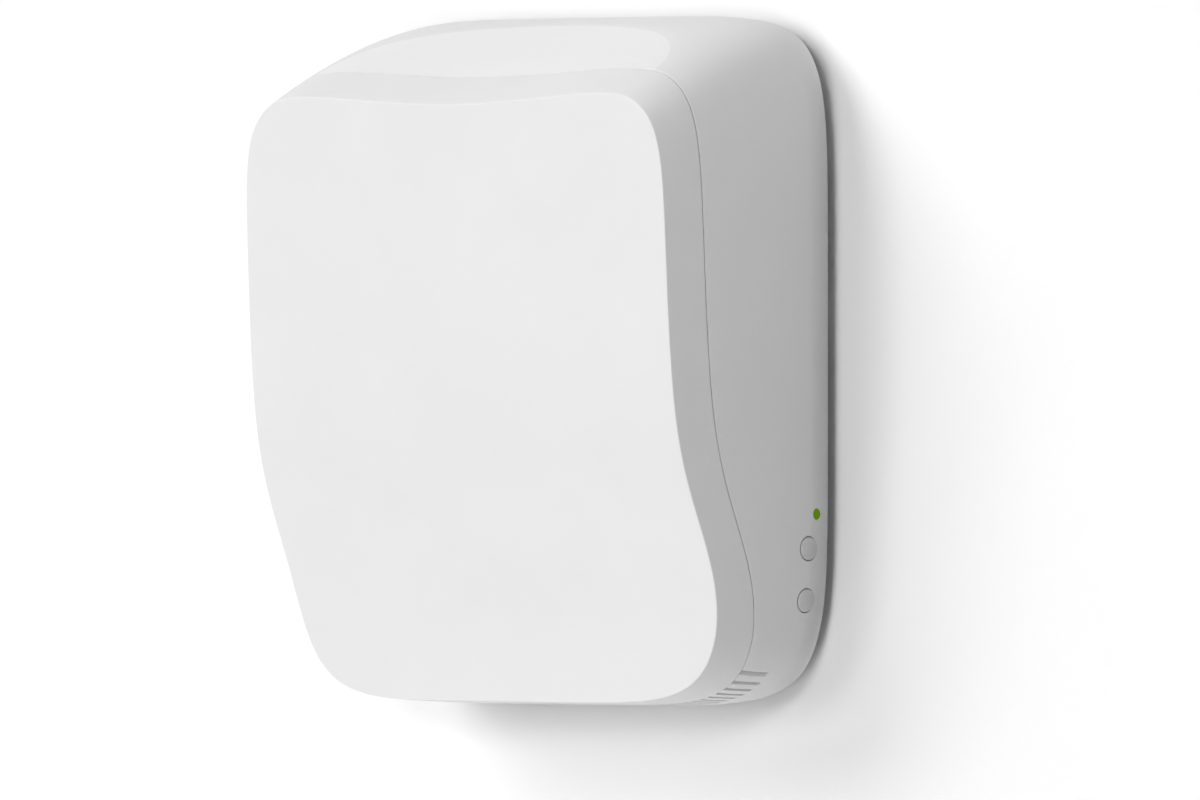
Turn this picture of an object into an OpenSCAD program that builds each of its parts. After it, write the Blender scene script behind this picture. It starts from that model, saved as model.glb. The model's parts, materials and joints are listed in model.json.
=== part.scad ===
// Wall-mounted wireless access point: curved shell, lift-off wall plate, tilting front cover.
// Frame: X to the right, Z up, the wall is the plane Y = 0 and the unit stands out along -Y.
// "Depth" below always means the distance in front of the wall, so depth = -Y.

/* [Body] */
// Overall width of the shell
body_w = 175; // [150:1:200]
// Height of the top of the shell above the origin
top_h = 96.75; // [88:0.25:110]
// Distance of the underside below the origin
bottom_h = 102; // [98:0.5:112]
// Gap between the rear rim and the wall
wall_gap = 3; // [2.6:0.1:5]
// How far sides and underside close in towards the front
draft = 3.85; // [0:0.05:6]
// Depth at which draft and the fall of the top begin
draft_start = 14; // [8:1:20]
// Distance over which draft and fall are measured
draft_run = 62; // [50:1:80]
// How far the top falls over that distance
top_fall = 22.1; // [14:0.1:26]
// Power of the fall of the top
top_fall_power = 1.55; // [1.2:0.05:2]
// Corner power of the upper outline at the wall
upper_power_rear = 6.85; // [4:0.05:9]
// Corner power of the upper outline at the front
upper_power_front = 7.4; // [4:0.05:9]
// Corner power of the lower outline at the wall
lower_power_rear = 6.45; // [4:0.05:9]
// Corner power of the lower outline at the front
lower_power_front = 6.2; // [4:0.05:9]

/* [Rear tuck] */
// Depth over which the shell tucks in towards the wall
tuck_run = 12; // [8:0.5:20]
// Share of the tuck that starts at once, as a crease
tuck_crease = 0.25; // [0:0.05:0.5]
// Tuck of each side
side_tuck = 5.9; // [2:0.1:8]
// Tuck of the top
top_tuck = 0.75; // [0:0.05:4]
// Tuck of the underside
bottom_tuck = 1.8; // [0:0.1:5]

/* [Front face] */
// Depth of the upper face at the origin's height
face_depth = 70.7; // [64:0.1:80]
// Extra depth for each millimetre of height
face_slope = 0.043; // [0:0.001:0.08]
// Depth of the foot of the face
foot_depth = 47.3; // [45.5:0.1:56]
// Height of the middle of the S-bend
bend_z = -52.3; // [-60:0.1:-40]
// Softness of the S-bend
bend_soft = 13.45; // [9:0.05:18]

/* [Shells] */
// Wall of both shells
wall = 2.2; // [1.6:0.1:3]
// Depth of the front cover's side band
cover_depth = 14.45; // [11:0.05:17]
// Open seam between the cover and the housing
seam_gap = 0.35; // [0.25:0.05:0.6]
// Clearance between the housing's tongue and the cover
tongue_clear = 0.35; // [0.3:0.05:0.6]
// Thickness of the tongue
tongue_t = 1.4; // [1:0.1:2]
// Reach of the tongue into the cover
tongue_reach = 3; // [2:0.5:5]
// Length of the thick root behind the seam
tongue_root = 5; // [3:0.5:7]

/* [Finger scoop] */
// Half width of the scoop in the top
scoop_half_w = 71.3; // [50:0.1:75]
// Length of the scoop behind the seam
scoop_run = 33; // [20:0.5:38]
// Depth of the scoop at the seam
scoop_drop = 3.85; // [2:0.05:6]
// Depth of the dip at the front edge of the cover
front_dip = 4.85; // [2:0.05:7]
// Power that rounds the scoop's bowl
scoop_power = 1.65; // [1:0.05:2.5]

/* [Vents] */
// Distance from one vent slot to the next
vent_pitch = 3.22; // [3:0.02:6]
// Width of a vent slot
vent_w = 1.2; // [0.8:0.1:2]
// Length of a vent slot behind the seam
vent_run = 10.8; // [6:0.2:14]
// Half width of the row of slots
vent_half_row = 77.4; // [40:0.1:78]

/* [Buttons and status light] */
// Diameter of a button cap
button_d = 6.6; // [5:0.1:9]
// Depth of the button axes
button_depth = 15.7; // [15:0.1:18]
// Height of the lower button above the underside
lower_button_rise = 30.6; // [27:0.1:32]
// Distance of the upper button above the lower one
button_pitch = 14.9; // [12:0.1:17]
// Travel of a button
button_travel = 0.5; // [0.2:0.05:0.8]
// How far a cap's dome stands proud
button_proud = 0.7; // [0.2:0.05:1]
// Radius of a cap's dome
dome_r = 15; // [8:0.5:30]
// Gap around a cap
button_gap = 0.3; // [0.3:0.05:0.5]
// Diameter of the light pipe
light_d = 3.1; // [2:0.1:4]
// Distance of the light pipe above the upper button
light_rise = 9.9; // [8:0.1:13]

/* [Wall plate] */
// Distance of the plate's side edges inside the sides of the shell
plate_inset = 25.5; // [18:0.5:31]
// Distance of the plate's upper edge below the top of the shell
plate_top_drop = 4.75; // [2:0.25:12]
// Height of the plate's lower edge above the underside
plate_low_rise = 10; // [6:0.5:11]
// Thickness of the wall plate
plate_t = 2; // [1.2:0.1:2.2]
// Distance of the slotted holes from the plate's side edges
screw_edge = 12; // [9:0.5:17]
// Distance between the slotted holes up the plate
screw_spacing_z = 110; // [100:1:120]
// Width of a screw slot
screw_slot_w = 4.5; // [3.5:0.1:5.5]
// Length of a screw slot
screw_slot_len = 9; // [7:0.5:12]
// Distance between the two wall box holes
box_spacing = 60.3; // [58:0.1:64]
// Diameter of a wall box hole
box_hole_d = 4.2; // [3:0.1:5]
// Width of the cable opening in the plate
cable_w = 44; // [30:1:48]
// Margin of the cable opening inside the bay, above and below
cable_margin = 5; // [3:0.5:8]
// Distance of the hooks from the plate's side edges
hook_edge = 14; // [10:0.5:18]
// Height of the upper hooks
hook_top_z = 66; // [60:0.5:70]
// Height of the lower hooks
hook_low_z = -26; // [-32:0.5:-20]
// Width of a hook
hook_w = 10; // [8:0.5:12]
// Rise of a hook's lip
hook_rise = 5; // [4:0.5:5.5]
// Lift that frees the unit from the hooks
lift_travel = 6; // [5.6:0.1:6]

/* [Back panel and cable bay] */
// Depth of the back panel's rear face
panel_depth = 5.5; // [5.2:0.1:6]
// Thickness of the back panel
panel_t = 2.2; // [1.6:0.1:2.4]
// Edge clearance of the back panel in the housing
panel_clear = 0.4; // [0.3:0.05:1]
// Inner half width of the cable bay
bay_half_w = 40; // [36:0.5:42]
// Height of the bay's ceiling
bay_top_z = -60; // [-62:0.5:-58]
// Height of the bay's floor above the underside
bay_rise = 8; // [7:0.5:12]
// Depth of the bay's front wall
bay_depth = 28.8; // [28.5:0.1:29.5]
// Wall of the bay
bay_wall = 1.8; // [1.2:0.1:2.2]
// Width of the housing's inner flange from the outer face
flange_inset = 9; // [8.5:0.1:9.4]
// Thickness of the housing's inner flange
flange_t = 1.6; // [1.2:0.1:2]
// Distance of the boss axes from the outer face
boss_inset = 9.5; // [9:0.1:10.5]
// Diameter of a screw boss
boss_d = 7; // [6:0.1:8]
// Length of a screw boss
boss_len = 10; // [9:0.5:12]
// Diameter of a case screw's shank
case_screw_d = 2.8; // [2.4:0.1:3.2]
// Length of a case screw below its head
case_screw_len = 10; // [7:0.5:11]

/* [Circuit board] */
// Thickness of the board
board_t = 1.6; // [1:0.1:1.8]
// Gap between the board's upper edge and the upper posts
board_post_gap = 1.8; // [1:0.1:4]
// Height of the board's side lobes above the underside
board_low_rise = 24; // [22:0.5:24.5]
// Space between board and bosses
board_clear = 1; // [0.5:0.1:3]
// Diameter of a board standoff
standoff_d = 6; // [5:0.1:7]
// Diameter of a board screw's shank
board_screw_d = 2.3; // [2:0.1:2.6]
// Distance of the jacks from the middle
jack_x = 20; // [14:0.5:26]
// Width of a jack
jack_w = 16.2; // [15.5:0.1:17]
// Height of a jack above the board
jack_h = 13.4; // [13:0.1:13.8]
// Length of a jack
jack_len = 21.4; // [18:0.1:23]
// Side of the processor
soc_side = 21; // [15:0.5:25]
// Width of the heat sink
sink_w = 44; // [36:1:46]
// Height of the heat sink
sink_h = 46; // [36:1:50]
// Thickness of the heat sink's base
sink_base = 3; // [2:0.1:4]
// Height of the fins
fin_h = 10; // [4:0.5:12]
// Number of fins
fin_count = 9; // [5:1:12]
// Width of a radio shield
can_w = 32; // [26:0.5:33]
// Height of a radio shield
can_h = 40; // [30:0.5:44]
// Height of a radio shield above the board
can_t = 3.2; // [2.6:0.1:5]

/* [Antenna frame] */
// Depth of the antenna frame's rear face
frame_depth = 39; // [37:0.5:39.5]
// Thickness of the antenna frame
frame_t = 2; // [1.6:0.1:2.4]
// Diameter of a frame post
post_d = 7; // [6:0.1:7.4]
// Angle of the upper posts round the outline
post_angle = 49; // [47:0.5:51]
// Distance of the upper posts' axes from the outer face
post_inset = 15.5; // [14.5:0.25:17]
// Gap between the lower posts and the bosses beside them
post_gap = 3.7; // [2.5:0.1:5]
// Height of the lower posts above the underside
post_low_rise = 16; // [15:0.5:17]
// Length of an antenna
antenna_len = 36; // [28:1:40]
// Height of an antenna's arm above the frame
antenna_rise = 5; // [3:0.5:6]
// Diameter of an antenna lead
lead_d = 1.2; // [0.8:0.1:1.6]

/* [Hidden] */
$fn = 48;
// Points round each ring of the shells
ring_points = 96;
// Clearance round a screw's shank or a pipe
screw_clear = 0.15;
// Gap between pieces that seat on each other across a joint or a fit
seat_gap = 0.3;
// Small sink of one shape into another of the same piece
ease = 0.05;
// How far a cut runs past the faces that it opens
past = 1;
// Depth at which the outline's front power is reached
front_limit = 76;
// Heights that follow the top or the underside
lower_button_z = lower_button_rise - bottom_h;
upper_button_z = lower_button_z + button_pitch;
light_z = upper_button_z + light_rise;
bay_floor_z = bay_rise - bottom_h;
bay_mid_z = (bay_top_z + bay_floor_z) / 2;
board_low_z = board_low_rise - bottom_h;
post_low_z = post_low_rise - bottom_h;

// ---- Laws of the outer shape ----
function clamp01(t) = max(0, min(1, t));
function draft_at(d) = draft * pow(max(0, d - draft_start) / draft_run, 2);
function tuck_at(d) =
    let (u = 1 - clamp01((d - wall_gap) / tuck_run))
    tuck_crease * u + (1 - tuck_crease) * (1 - sqrt(1 - u * u));
function half_w(d) = body_w / 2 - draft_at(d) - side_tuck * tuck_at(d);
function top_at(d) =
    top_h - top_fall * pow(max(0, d - draft_start) / draft_run, top_fall_power) - top_tuck * tuck_at(d);
function bottom_at(d) = bottom_h - draft_at(d) - bottom_tuck * tuck_at(d);
function mix(a, b, t) = a + (b - a) * clamp01(t);
function power_at(d, up) = up
    ? mix(upper_power_rear, upper_power_front, d / front_limit)
    : mix(lower_power_rear, lower_power_front, d / front_limit);
// Depth of the front face at a height
function face_at(z) =
    foot_depth + (face_depth + face_slope * z - foot_depth) / (1 + exp(-(z - bend_z) / bend_soft));

// Point of the outline at a depth, set in by s, before the scoop
function outline(phi, d, s) =
    let (up = sin(phi) >= 0,
         a = half_w(d) - s,
         b = (up ? top_at(d) : bottom_at(d)) - s,
         n = power_at(d, up),
         rho = pow(pow(abs(cos(phi)), n) + pow(abs(sin(phi)), n), -1 / n))
    [a * cos(phi) * rho, b * sin(phi) * rho];
// Half width of the outer face at a height and depth
function flank_x(d, z, s = 0) =
    let (n = power_at(d, z >= 0), b = (z >= 0 ? top_at(d) : bottom_at(d)) - s)
    (half_w(d) - s) * pow(1 - pow(abs(z) / b, n), 1 / n);
// Where a round flange of radius r still clears the inside of the flank, below the origin
function flange_x(d, z, r) = flank_x(d - r, z - r, wall) - seat_gap;
// Height of the outer underside at a width and depth, as a positive distance
function under_z(d, x, s) =
    let (n = power_at(d, false), a = half_w(d) - s, b = bottom_at(d) - s)
    b * pow(max(0, 1 - pow(min(abs(x) / a, 1), n)), 1 / n);

// Drop of the top face in the scoop, and its run-out over the cover
top_seam_depth = face_at(top_at(face_depth)) - cover_depth;
function scoop_at(x, d) =
    let (back = max(0, (top_seam_depth - d) / scoop_run),
         ahead = clamp01((d - top_seam_depth) / cover_depth),
         out = min(1, norm([x / scoop_half_w, back])))
    mix(scoop_drop, front_dip, ahead) * (1 - pow(out, scoop_power));

// Point on the skin set in by s, at a given depth
function skin_point(phi, d, s) =
    let (p = outline(phi, d, s))
    [p[0], -d, p[1] - (sin(phi) > 0 ? scoop_at(p[0], d) : 0)];
// Depth behind the front face by `off`, solved for the height it has there
function edge_depth(phi, off, s, d = 55, left = 8) =
    left == 0 ? d : edge_depth(phi, off, s, face_at(outline(phi, d, s)[1]) - off, left - 1);
// Point on the skin at `off` behind the front face
function edge_point(phi, off, s) = skin_point(phi, edge_depth(phi, off, s), s);

ring_phi = [for (i = [0:ring_points - 1]) 360 * (i + 0.5) / ring_points];
// Closed skin from rings that run round in order: each ring joins the next and the last joins the first
function loop_faces(rings, n) = [
    for (r = [0:rings - 1], i = [0:n - 1])
        let (a = r * n + i, b = r * n + (i + 1) % n,
             c = ((r + 1) % rings) * n + i, d = ((r + 1) % rings) * n + (i + 1) % n)
        each [[a, c, b], [b, c, d]]];
module ring_solid(rings) {
    points = [for (ring = rings) each ring];
    polyhedron(points, loop_faces(len(rings), len(rings[0])), convexity = 6);
}

// ---- Placing helpers: everything is given by its depth in front of the wall ----
module block(x0, x1, d0, d1, z0, z1) {
    translate([x0, -d1, z0]) cube([x1 - x0, d1 - d0, z1 - z0]);
}
module slab(d, t) {
    translate([0, -d, 0]) rotate([90, 0, 0]) linear_extrude(t) children();
}
module post(x, z, d, len, dia) {
    translate([x, -d, z]) rotate([90, 0, 0]) cylinder(h = len, d = dia);
}
module peg(x, len, d, z, dia) {
    translate([x, -d, z]) rotate([0, 90, 0]) cylinder(h = len, d = dia);
}
// Extrudes a profile drawn in [-depth, height] along X
module profile_x(x0, x1) {
    translate([x0, 0, 0]) rotate([90, 0, 90]) linear_extrude(x1 - x0) children();
}
module rounded_rect(w, h, r) {
    for (x = [-1, 1], z = [-1, 1]) translate([x * (w / 2 - r), z * (h / 2 - r)]) circle(r = r);
    square([w - 2 * r, h], center = true);
    square([w, h - 2 * r], center = true);
}
module slot_shape(w, len) {
    square([len - w, w], center = true);
    for (s = [-1, 1]) translate([s * (len - w) / 2, 0]) circle(d = w);
}

// ---- Main housing ----
bay_out = bay_half_w + bay_wall;
flange_depth = panel_depth + panel_t;
flange_front = flange_depth + flange_t;
tongue_slope = 3;
rib_t = 1.6;
tongue_inset = wall + tongue_clear;
seam_off = cover_depth + seam_gap / 2;
// Rings of one skin between the rear rim and `off` behind the face: rear rows at set depths, then even rows
tuck_rows = [0, 0.06, 0.16, 0.34, 0.6, 1];
even_rows = 6;
function skin_rows(off, s) = concat(
    [for (t = tuck_rows) [for (phi = ring_phi) skin_point(phi, wall_gap + t * tuck_run, s)]],
    [for (k = [1:even_rows]) [for (phi = ring_phi)
        let (d0 = wall_gap + tuck_run, d1 = edge_depth(phi, off, s))
        skin_point(phi, mix(d0, d1, k / even_rows), s)]]);
function inner_ring(d, s) = [for (phi = ring_phi) skin_point(phi, d, s)];
function edge_ring(off, s) = [for (phi = ring_phi) edge_point(phi, off, s)];
function inner_rows(s) = [for (k = [even_rows - 1:-1:1]) [for (phi = ring_phi)
    let (d0 = flange_front, d1 = edge_depth(phi, seam_off + tongue_root + tongue_slope, s))
    skin_point(phi, mix(d0, d1, k / even_rows), s)]];

boss_angles = [57, 90, 123, 172, 230, 310, 8];
boss_points = [for (phi = boss_angles) outline(phi, flange_depth, boss_inset)];

module housing_skin() {
    tip_inset = tongue_inset + tongue_t;
    ring_solid(concat(
        skin_rows(seam_off, 0),
        [edge_ring(seam_off, tongue_inset),
         edge_ring(seam_off - tongue_reach, tongue_inset),
         edge_ring(seam_off - tongue_reach, tip_inset),
         edge_ring(seam_off + tongue_root, tip_inset),
         edge_ring(seam_off + tongue_root + tongue_slope, wall)],
        inner_rows(wall),
        [inner_ring(flange_front, wall),
         inner_ring(flange_front, flange_inset),
         inner_ring(flange_depth, flange_inset),
         inner_ring(flange_depth, wall),
         inner_ring(wall_gap, wall)]));
}
// A screw boss rooted in the flange, with a rib to the shell's wall
module boss(i) {
    p = boss_points[i];
    w = outline(boss_angles[i], flange_depth, wall / 3);
    start = flange_depth + flange_t / 3;
    rib_len = boss_len - 2 * past;
    post(p[0], p[1], start, boss_len, boss_d);
    translate([p[0], -start - past - rib_len, p[1]])
        rotate([0, -atan2(w[1] - p[1], w[0] - p[0]), 0])
            translate([0, 0, -rib_t / 2]) cube([norm(w - p), rib_len, rib_t]);
}
button_hole_d = button_d + 2 * button_gap;
module vent_cuts() {
    count = floor(vent_half_row / vent_pitch);
    for (i = [-count:count]) {
        x = i * vent_pitch;
        d_seam = face_at(-under_z(foot_depth - cover_depth, x, 0)) - seam_off;
        block(x - vent_w / 2, x + vent_w / 2, d_seam - vent_run, d_seam + past,
              -bottom_h - past, -under_z(d_seam - vent_run / 2, x, wall + seat_gap));
    }
}
module main_housing() {
    color("whitesmoke") difference() {
        union() {
            housing_skin();
            for (i = [0:len(boss_angles) - 1]) boss(i);
        }
        for (p = boss_points)
            post(p[0], p[1], flange_depth - past, boss_len, case_screw_d + 2 * screw_clear);
        for (z = [upper_button_z, lower_button_z])
            peg(body_w / 3, body_w / 3, button_depth, z, button_hole_d);
        peg(body_w / 3, body_w / 3, light_depth, light_z, light_d + 2 * screw_clear);
        vent_cuts();
        block(-bay_out - seat_gap, bay_out + seat_gap, flange_depth - past, flange_front + past,
              bay_floor_z - bay_wall - seat_gap, 0);
    }
}

// ---- Front cover ----
cover_off = cover_depth - seam_gap / 2;
face_rings = 7;
// A ring of the front face, shrunk towards the middle by t, at the face's own depth
function face_ring(s, t, inset) = [for (phi = ring_phi)
    let (p = edge_point(phi, inset, s), x = p[0] * t, z = p[2] * t) [x, -(face_at(z) - inset), z]];
function cover_rows(s, inset) = concat(
    [for (k = [0:3]) edge_ring(mix(cover_off, inset, k / 3), s)],
    [for (k = [1:face_rings - 1]) face_ring(s, 1 - k / face_rings, inset)]);
module cover_skin() {
    outer = cover_rows(0, 0);
    inner = cover_rows(wall, wall);
    n = ring_points;
    rows = len(outer);
    points = concat([for (ring = outer) each ring], [[0, -face_at(0), 0]],
                    [for (ring = inner) each ring], [[0, -(face_at(0) - wall), 0]]);
    shift = rows * n + 1;
    function band(r, i, o) = let (a = o + r * n + i, b = o + r * n + (i + 1) % n, c = a + n, d = b + n)
        o == 0 ? [[a, c, b], [b, c, d]] : [[a, b, c], [b, d, c]];
    faces = concat(
        [for (o = [0, shift], r = [0:rows - 2], i = [0:n - 1]) each band(r, i, o)],
        [for (i = [0:n - 1]) let (a = (rows - 1) * n + i, b = (rows - 1) * n + (i + 1) % n) each
            [[b, a, rows * n], [shift + a, shift + b, shift + rows * n]]],
        [for (i = [0:n - 1]) let (b = (i + 1) % n) each [[i, b, shift + i], [shift + i, b, shift + b]]]);
    polyhedron(points, faces, convexity = 6);
}
// Hinge line of the cover: the outer lower edge of its rim
hinge_depth = edge_depth(270, cover_depth, 0);
foot_x = bay_out + 6.5;
foot_w = 9;
foot_t = 1.8;
foot_gap = 0.7;
tab_x = 34;
tab_w = 12;
tab_t = 1.6;
tab_gap = 0.5;
tab_reach = 9;
tab_root = 3.5;
catch_rise = 1.2;
// A foot that reaches back over the housing's tongue and turns down behind it
module cover_foot(x) {
    base = -under_z(hinge_depth, abs(x) + foot_w / 2, 0);
    arm_low = base + tongue_inset + tongue_t + 2 * foot_gap;
    arm_top = arm_low + foot_t;
    toe_back = hinge_depth - tongue_root - tongue_slope - foot_t;
    rib_depth = hinge_depth + tongue_reach + foot_t + foot_gap;
    x0 = x - foot_w / 2;
    x1 = x + foot_w / 2;
    block(x0, x1, toe_back, rib_depth + foot_t, arm_low, arm_top);
    block(x0, x1, toe_back, toe_back + foot_t, base + wall + foot_gap, arm_top);
    block(x0, x1, rib_depth, rib_depth + foot_t, base + wall / 2, arm_top);
}
// A springy tab with a small catch: its root follows the middle of the sloping top wall
module cover_tab(x) {
    tip = top_seam_depth + tongue_reach;
    top = top_at(tip) - scoop_at(abs(x) - tab_w / 2, tip) - tongue_inset - tongue_t - tab_gap;
    low = top - tab_t;
    function wall_mid(d) = top_at(d) - scoop_at(x, d) - wall / 2;
    r0 = tip + past;
    r1 = r0 + tab_root;
    catch0 = tip - tab_reach;
    catch1 = catch0 + tab_t;
    profile_x(x - tab_w / 2, x + tab_w / 2)
        polygon([[-catch0, low], [-catch0, top + catch_rise], [-catch1, top + catch_rise], [-catch1, top],
                 [-r0, top], [-r0, wall_mid(r0)], [-r1, wall_mid(r1)],
                 [-r1, wall_mid(r1) - 2 * tab_t], [-r0, low]]);
}
module front_cover() {
    color("white") union() {
        cover_skin();
        for (s = [-1, 1]) {
            cover_foot(s * foot_x);
            cover_tab(s * tab_x);
        }
    }
}

// ---- Buttons and light ----
switch_h = 3.5;
switch_len = 4;
switch_side = 6;
switch_back = 6.8;
leg_t = 0.8;
leg_h = 1.2;
plunger_d = 3;
plunger_out = button_travel + 0.8;
plunger_clear = 0.1;
stem_d = plunger_d + 1.2;
light_rim = 1.25;
light_depth = flange_front + seat_gap + light_rim + light_d / 2;
light_proud = 0.15;
light_dome_r = 7;
board_front = button_depth - switch_h / 2;
board_rear = board_front - board_t;
switch_x = flank_x(button_depth, lower_button_z) - wall - switch_back;
cap_flange = 1;
module button_cap(z) {
    flange_r = button_d / 2 + cap_flange;
    lean = atan((flank_x(button_depth, z + 1) - flank_x(button_depth, z - 1)) / 2);
    face = flank_x(button_depth, z);
    back = flange_x(button_depth, z, flange_r) - cap_flange;
    intersection() {
        peg(back, face - back + button_proud + past, button_depth, z, button_d);
        translate([face + (button_proud - dome_r) * cos(lean), -button_depth,
                   z - (button_proud - dome_r) * sin(lean)]) sphere(r = dome_r);
    }
    peg(back, cap_flange, button_depth, z, 2 * flange_r);
    start = switch_x + plunger_out;
    peg(start, back - start + ease, button_depth, z, stem_d);
}
module plunger(z) {
    peg(switch_x - plunger_out, 2 * plunger_out, button_depth, z, plunger_d);
}
module tact_switch(z) {
    bore_len = 2 * plunger_out;
    difference() {
        block(switch_x - switch_len, switch_x, board_front, board_front + switch_h,
              z - switch_side / 2, z + switch_side / 2);
        peg(switch_x - bore_len, bore_len + past, button_depth, z, plunger_d + 2 * plunger_clear);
    }
    for (s = [-1, 1]) {
        leg_z = z + s * (switch_side + leg_t) / 2;
        block(switch_x - switch_len + leg_t, switch_x - leg_t, board_front, board_front + leg_h,
              leg_z - leg_t / 2, leg_z + leg_t / 2);
    }
}
module upper_button() { color("whitesmoke") button_cap(upper_button_z); }
module lower_button() { color("whitesmoke") button_cap(lower_button_z); }
module upper_plunger() { color("dimgray") plunger(upper_button_z); }
module lower_plunger() { color("dimgray") plunger(lower_button_z); }
module upper_switch() { color("black") tact_switch(upper_button_z); }
module lower_switch() { color("black") tact_switch(lower_button_z); }
led_out = 0.3;
module light_pipe() {
    face = flank_x(light_depth, light_z) + light_proud;
    flange_r = light_d / 2 + light_rim;
    flange_at = flange_x(light_depth, light_z, flange_r) - cap_flange;
    start = switch_x + led_out + seat_gap;
    color("yellowgreen") union() {
        translate([start, -light_depth, light_z]) rotate([0, 90, 0]) rotate_extrude() intersection() {
            square([light_d / 2, face - start]);
            translate([0, face - start - light_dome_r]) circle(r = light_dome_r);
        }
        peg(flange_at, cap_flange, light_depth, light_z, 2 * flange_r);
    }
}
module status_led() {
    body = [1, 1.1, 3.2];
    lens = [led_out + 2 * ease, 0.9, 2];
    x = switch_x - body[0] - 0.2;
    color("honeydew") union() {
        block(x, x + body[0], board_rear - body[1], board_rear, light_z - body[2] / 2, light_z + body[2] / 2);
        block(x + body[0] - ease, x + body[0] + lens[0], board_rear - lens[1] - ease, board_rear - ease,
              light_z - lens[2] / 2, light_z + lens[2] / 2);
    }
}

// ---- Wall plate ----
hook_t = 2;
plate_corner = 9;
opening_corner = 4;
lip_depth = flange_depth + seat_gap;
plate_w = body_w - 2 * plate_inset;
hook_x = plate_w / 2 - hook_edge;
hook_spots = [for (z = [hook_top_z, hook_low_z], s = [-1, 1]) [s * hook_x, z]];
plate_top_z = top_h - plate_top_drop;
plate_low_z = plate_low_rise - bottom_h;
screw_spacing_x = plate_w - 2 * screw_edge;
cable_h = bay_top_z - bay_floor_z - 2 * cable_margin;
module wall_plate() {
    color("lightgray") union() {
        slab(0, plate_t) difference() {
            translate([0, (plate_top_z + plate_low_z) / 2])
                rounded_rect(plate_w, plate_top_z - plate_low_z, plate_corner);
            for (x = [-1, 1], z = [-1, 1])
                translate([x * screw_spacing_x / 2, z * screw_spacing_z / 2])
                    slot_shape(screw_slot_w, screw_slot_len);
            for (s = [-1, 1]) translate([s * box_spacing / 2, bay_mid_z]) circle(d = box_hole_d);
            translate([0, bay_mid_z]) rounded_rect(cable_w, cable_h, opening_corner);
        }
        for (p = hook_spots) {
            block(p[0] - hook_w / 2, p[0] + hook_w / 2, plate_t / 2, lip_depth + hook_t, p[1] - hook_t, p[1]);
            block(p[0] - hook_w / 2, p[0] + hook_w / 2, lip_depth, lip_depth + hook_t,
                  p[1] - hook_t, p[1] + hook_rise);
        }
    }
}

// ---- Back panel with cable bay, standoffs and frame posts ----
board_half_w = boss_points[6][0] - boss_d / 2 - board_clear;
post_top = outline(post_angle, flange_depth, post_inset);
board_top_z = post_top[1] - post_d / 2 - board_post_gap;
standoff_edge = 8;
standoff_rise = 10;
standoff_points = [for (x = [-1, 0, 1], z = [board_top_z - standoff_edge, bay_top_z + standoff_rise])
    [x * (board_half_w - standoff_d), z]];
post_low = [boss_points[5][0] - (boss_d + post_d) / 2 - post_gap, post_low_z];
post_points = [for (s = [-1, 1], p = [post_top, post_low]) [s * p[0], p[1]]];
jack_base_z = bay_top_z + seat_gap;
rail_x = hook_x + hook_w / 2 + 4;
rail_w = 2.4;
rail_low_z = -60;
rail_top_z = 70;
hook_gap = 0.4;
board_hole_d = board_screw_d + 2 * screw_clear;
standoff_hole = 4.2;
frame_screw_len = 7;
panel_mid = panel_depth + panel_t / 2;
module panel_outline() {
    polygon([for (phi = ring_phi) outline(phi, wall_gap, wall + panel_clear)]);
}
module bay_walls() {
    difference() {
        block(-bay_out, bay_out, panel_mid, bay_depth + bay_wall,
              bay_floor_z - bay_wall, bay_top_z + bay_wall);
        block(-bay_half_w, bay_half_w, panel_depth - past, bay_depth, bay_floor_z, bay_top_z);
        for (s = [-1, 1])
            block(s * jack_x - jack_w / 2 - seat_gap, s * jack_x + jack_w / 2 + seat_gap,
                  board_front - seat_gap, board_front + jack_h + seat_gap,
                  bay_top_z - past, bay_top_z + bay_wall + past);
    }
}
module back_panel() {
    color("gainsboro") difference() {
        union() {
            difference() {
                slab(panel_depth, panel_t) panel_outline();
                block(-bay_half_w, bay_half_w, 0, bay_depth, bay_floor_z, bay_top_z);
            }
            bay_walls();
            for (p = standoff_points) post(p[0], p[1], panel_mid, board_rear - panel_mid, standoff_d);
            for (p = post_points) post(p[0], p[1], panel_mid, frame_depth - panel_mid, post_d);
            for (s = [-1, 1])
                block(s * rail_x - rail_w / 2, s * rail_x + rail_w / 2, plate_t + seat_gap, panel_mid,
                      rail_low_z, rail_top_z);
        }
        for (p = hook_spots)
            block(p[0] - hook_w / 2 - hook_gap, p[0] + hook_w / 2 + hook_gap, 0, flange_depth + past / 2,
                  p[1] - hook_t - lift_travel - hook_gap, p[1]);
        for (p = boss_points) post(p[0], p[1], 0, flange_depth + past, case_screw_d + 2 * screw_clear);
        for (p = standoff_points)
            post(p[0], p[1], board_rear - standoff_hole, standoff_hole + past, board_hole_d);
        for (p = post_points)
            post(p[0], p[1], frame_depth - frame_screw_len, frame_screw_len + past, board_hole_d);
    }
}

// A pan-head screw seated at a depth; `ahead` says whether its shank points away from the wall
case_head = [5.6, 1.8];
board_head = [4.8, 1.6];
recess_w = 0.7;
module pan_screw(x, z, seat, len, shank_d, head, ahead) {
    lip = 0.6 * head[1];
    crown = head[1] - lip;
    translate([x, -seat, z]) rotate([ahead ? 90 : -90, 0, 0]) {
        translate([0, 0, -ease]) cylinder(h = len + ease, d = shank_d);
        difference() {
            translate([0, 0, -head[1]]) union() {
                translate([0, 0, crown]) cylinder(h = lip, d = head[0]);
                cylinder(h = crown + ease, d1 = 0.75 * head[0], d2 = head[0]);
            }
            for (a = [0, 90]) rotate([0, 0, a])
                translate([-0.3 * head[0], -recess_w / 2, -head[1] - past])
                    cube([0.6 * head[0], recess_w, past + lip]);
        }
    }
}
module case_screws() {
    color("silver") for (p = boss_points)
        pan_screw(p[0], p[1], panel_depth, case_screw_len, case_screw_d, case_head, true);
}

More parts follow.
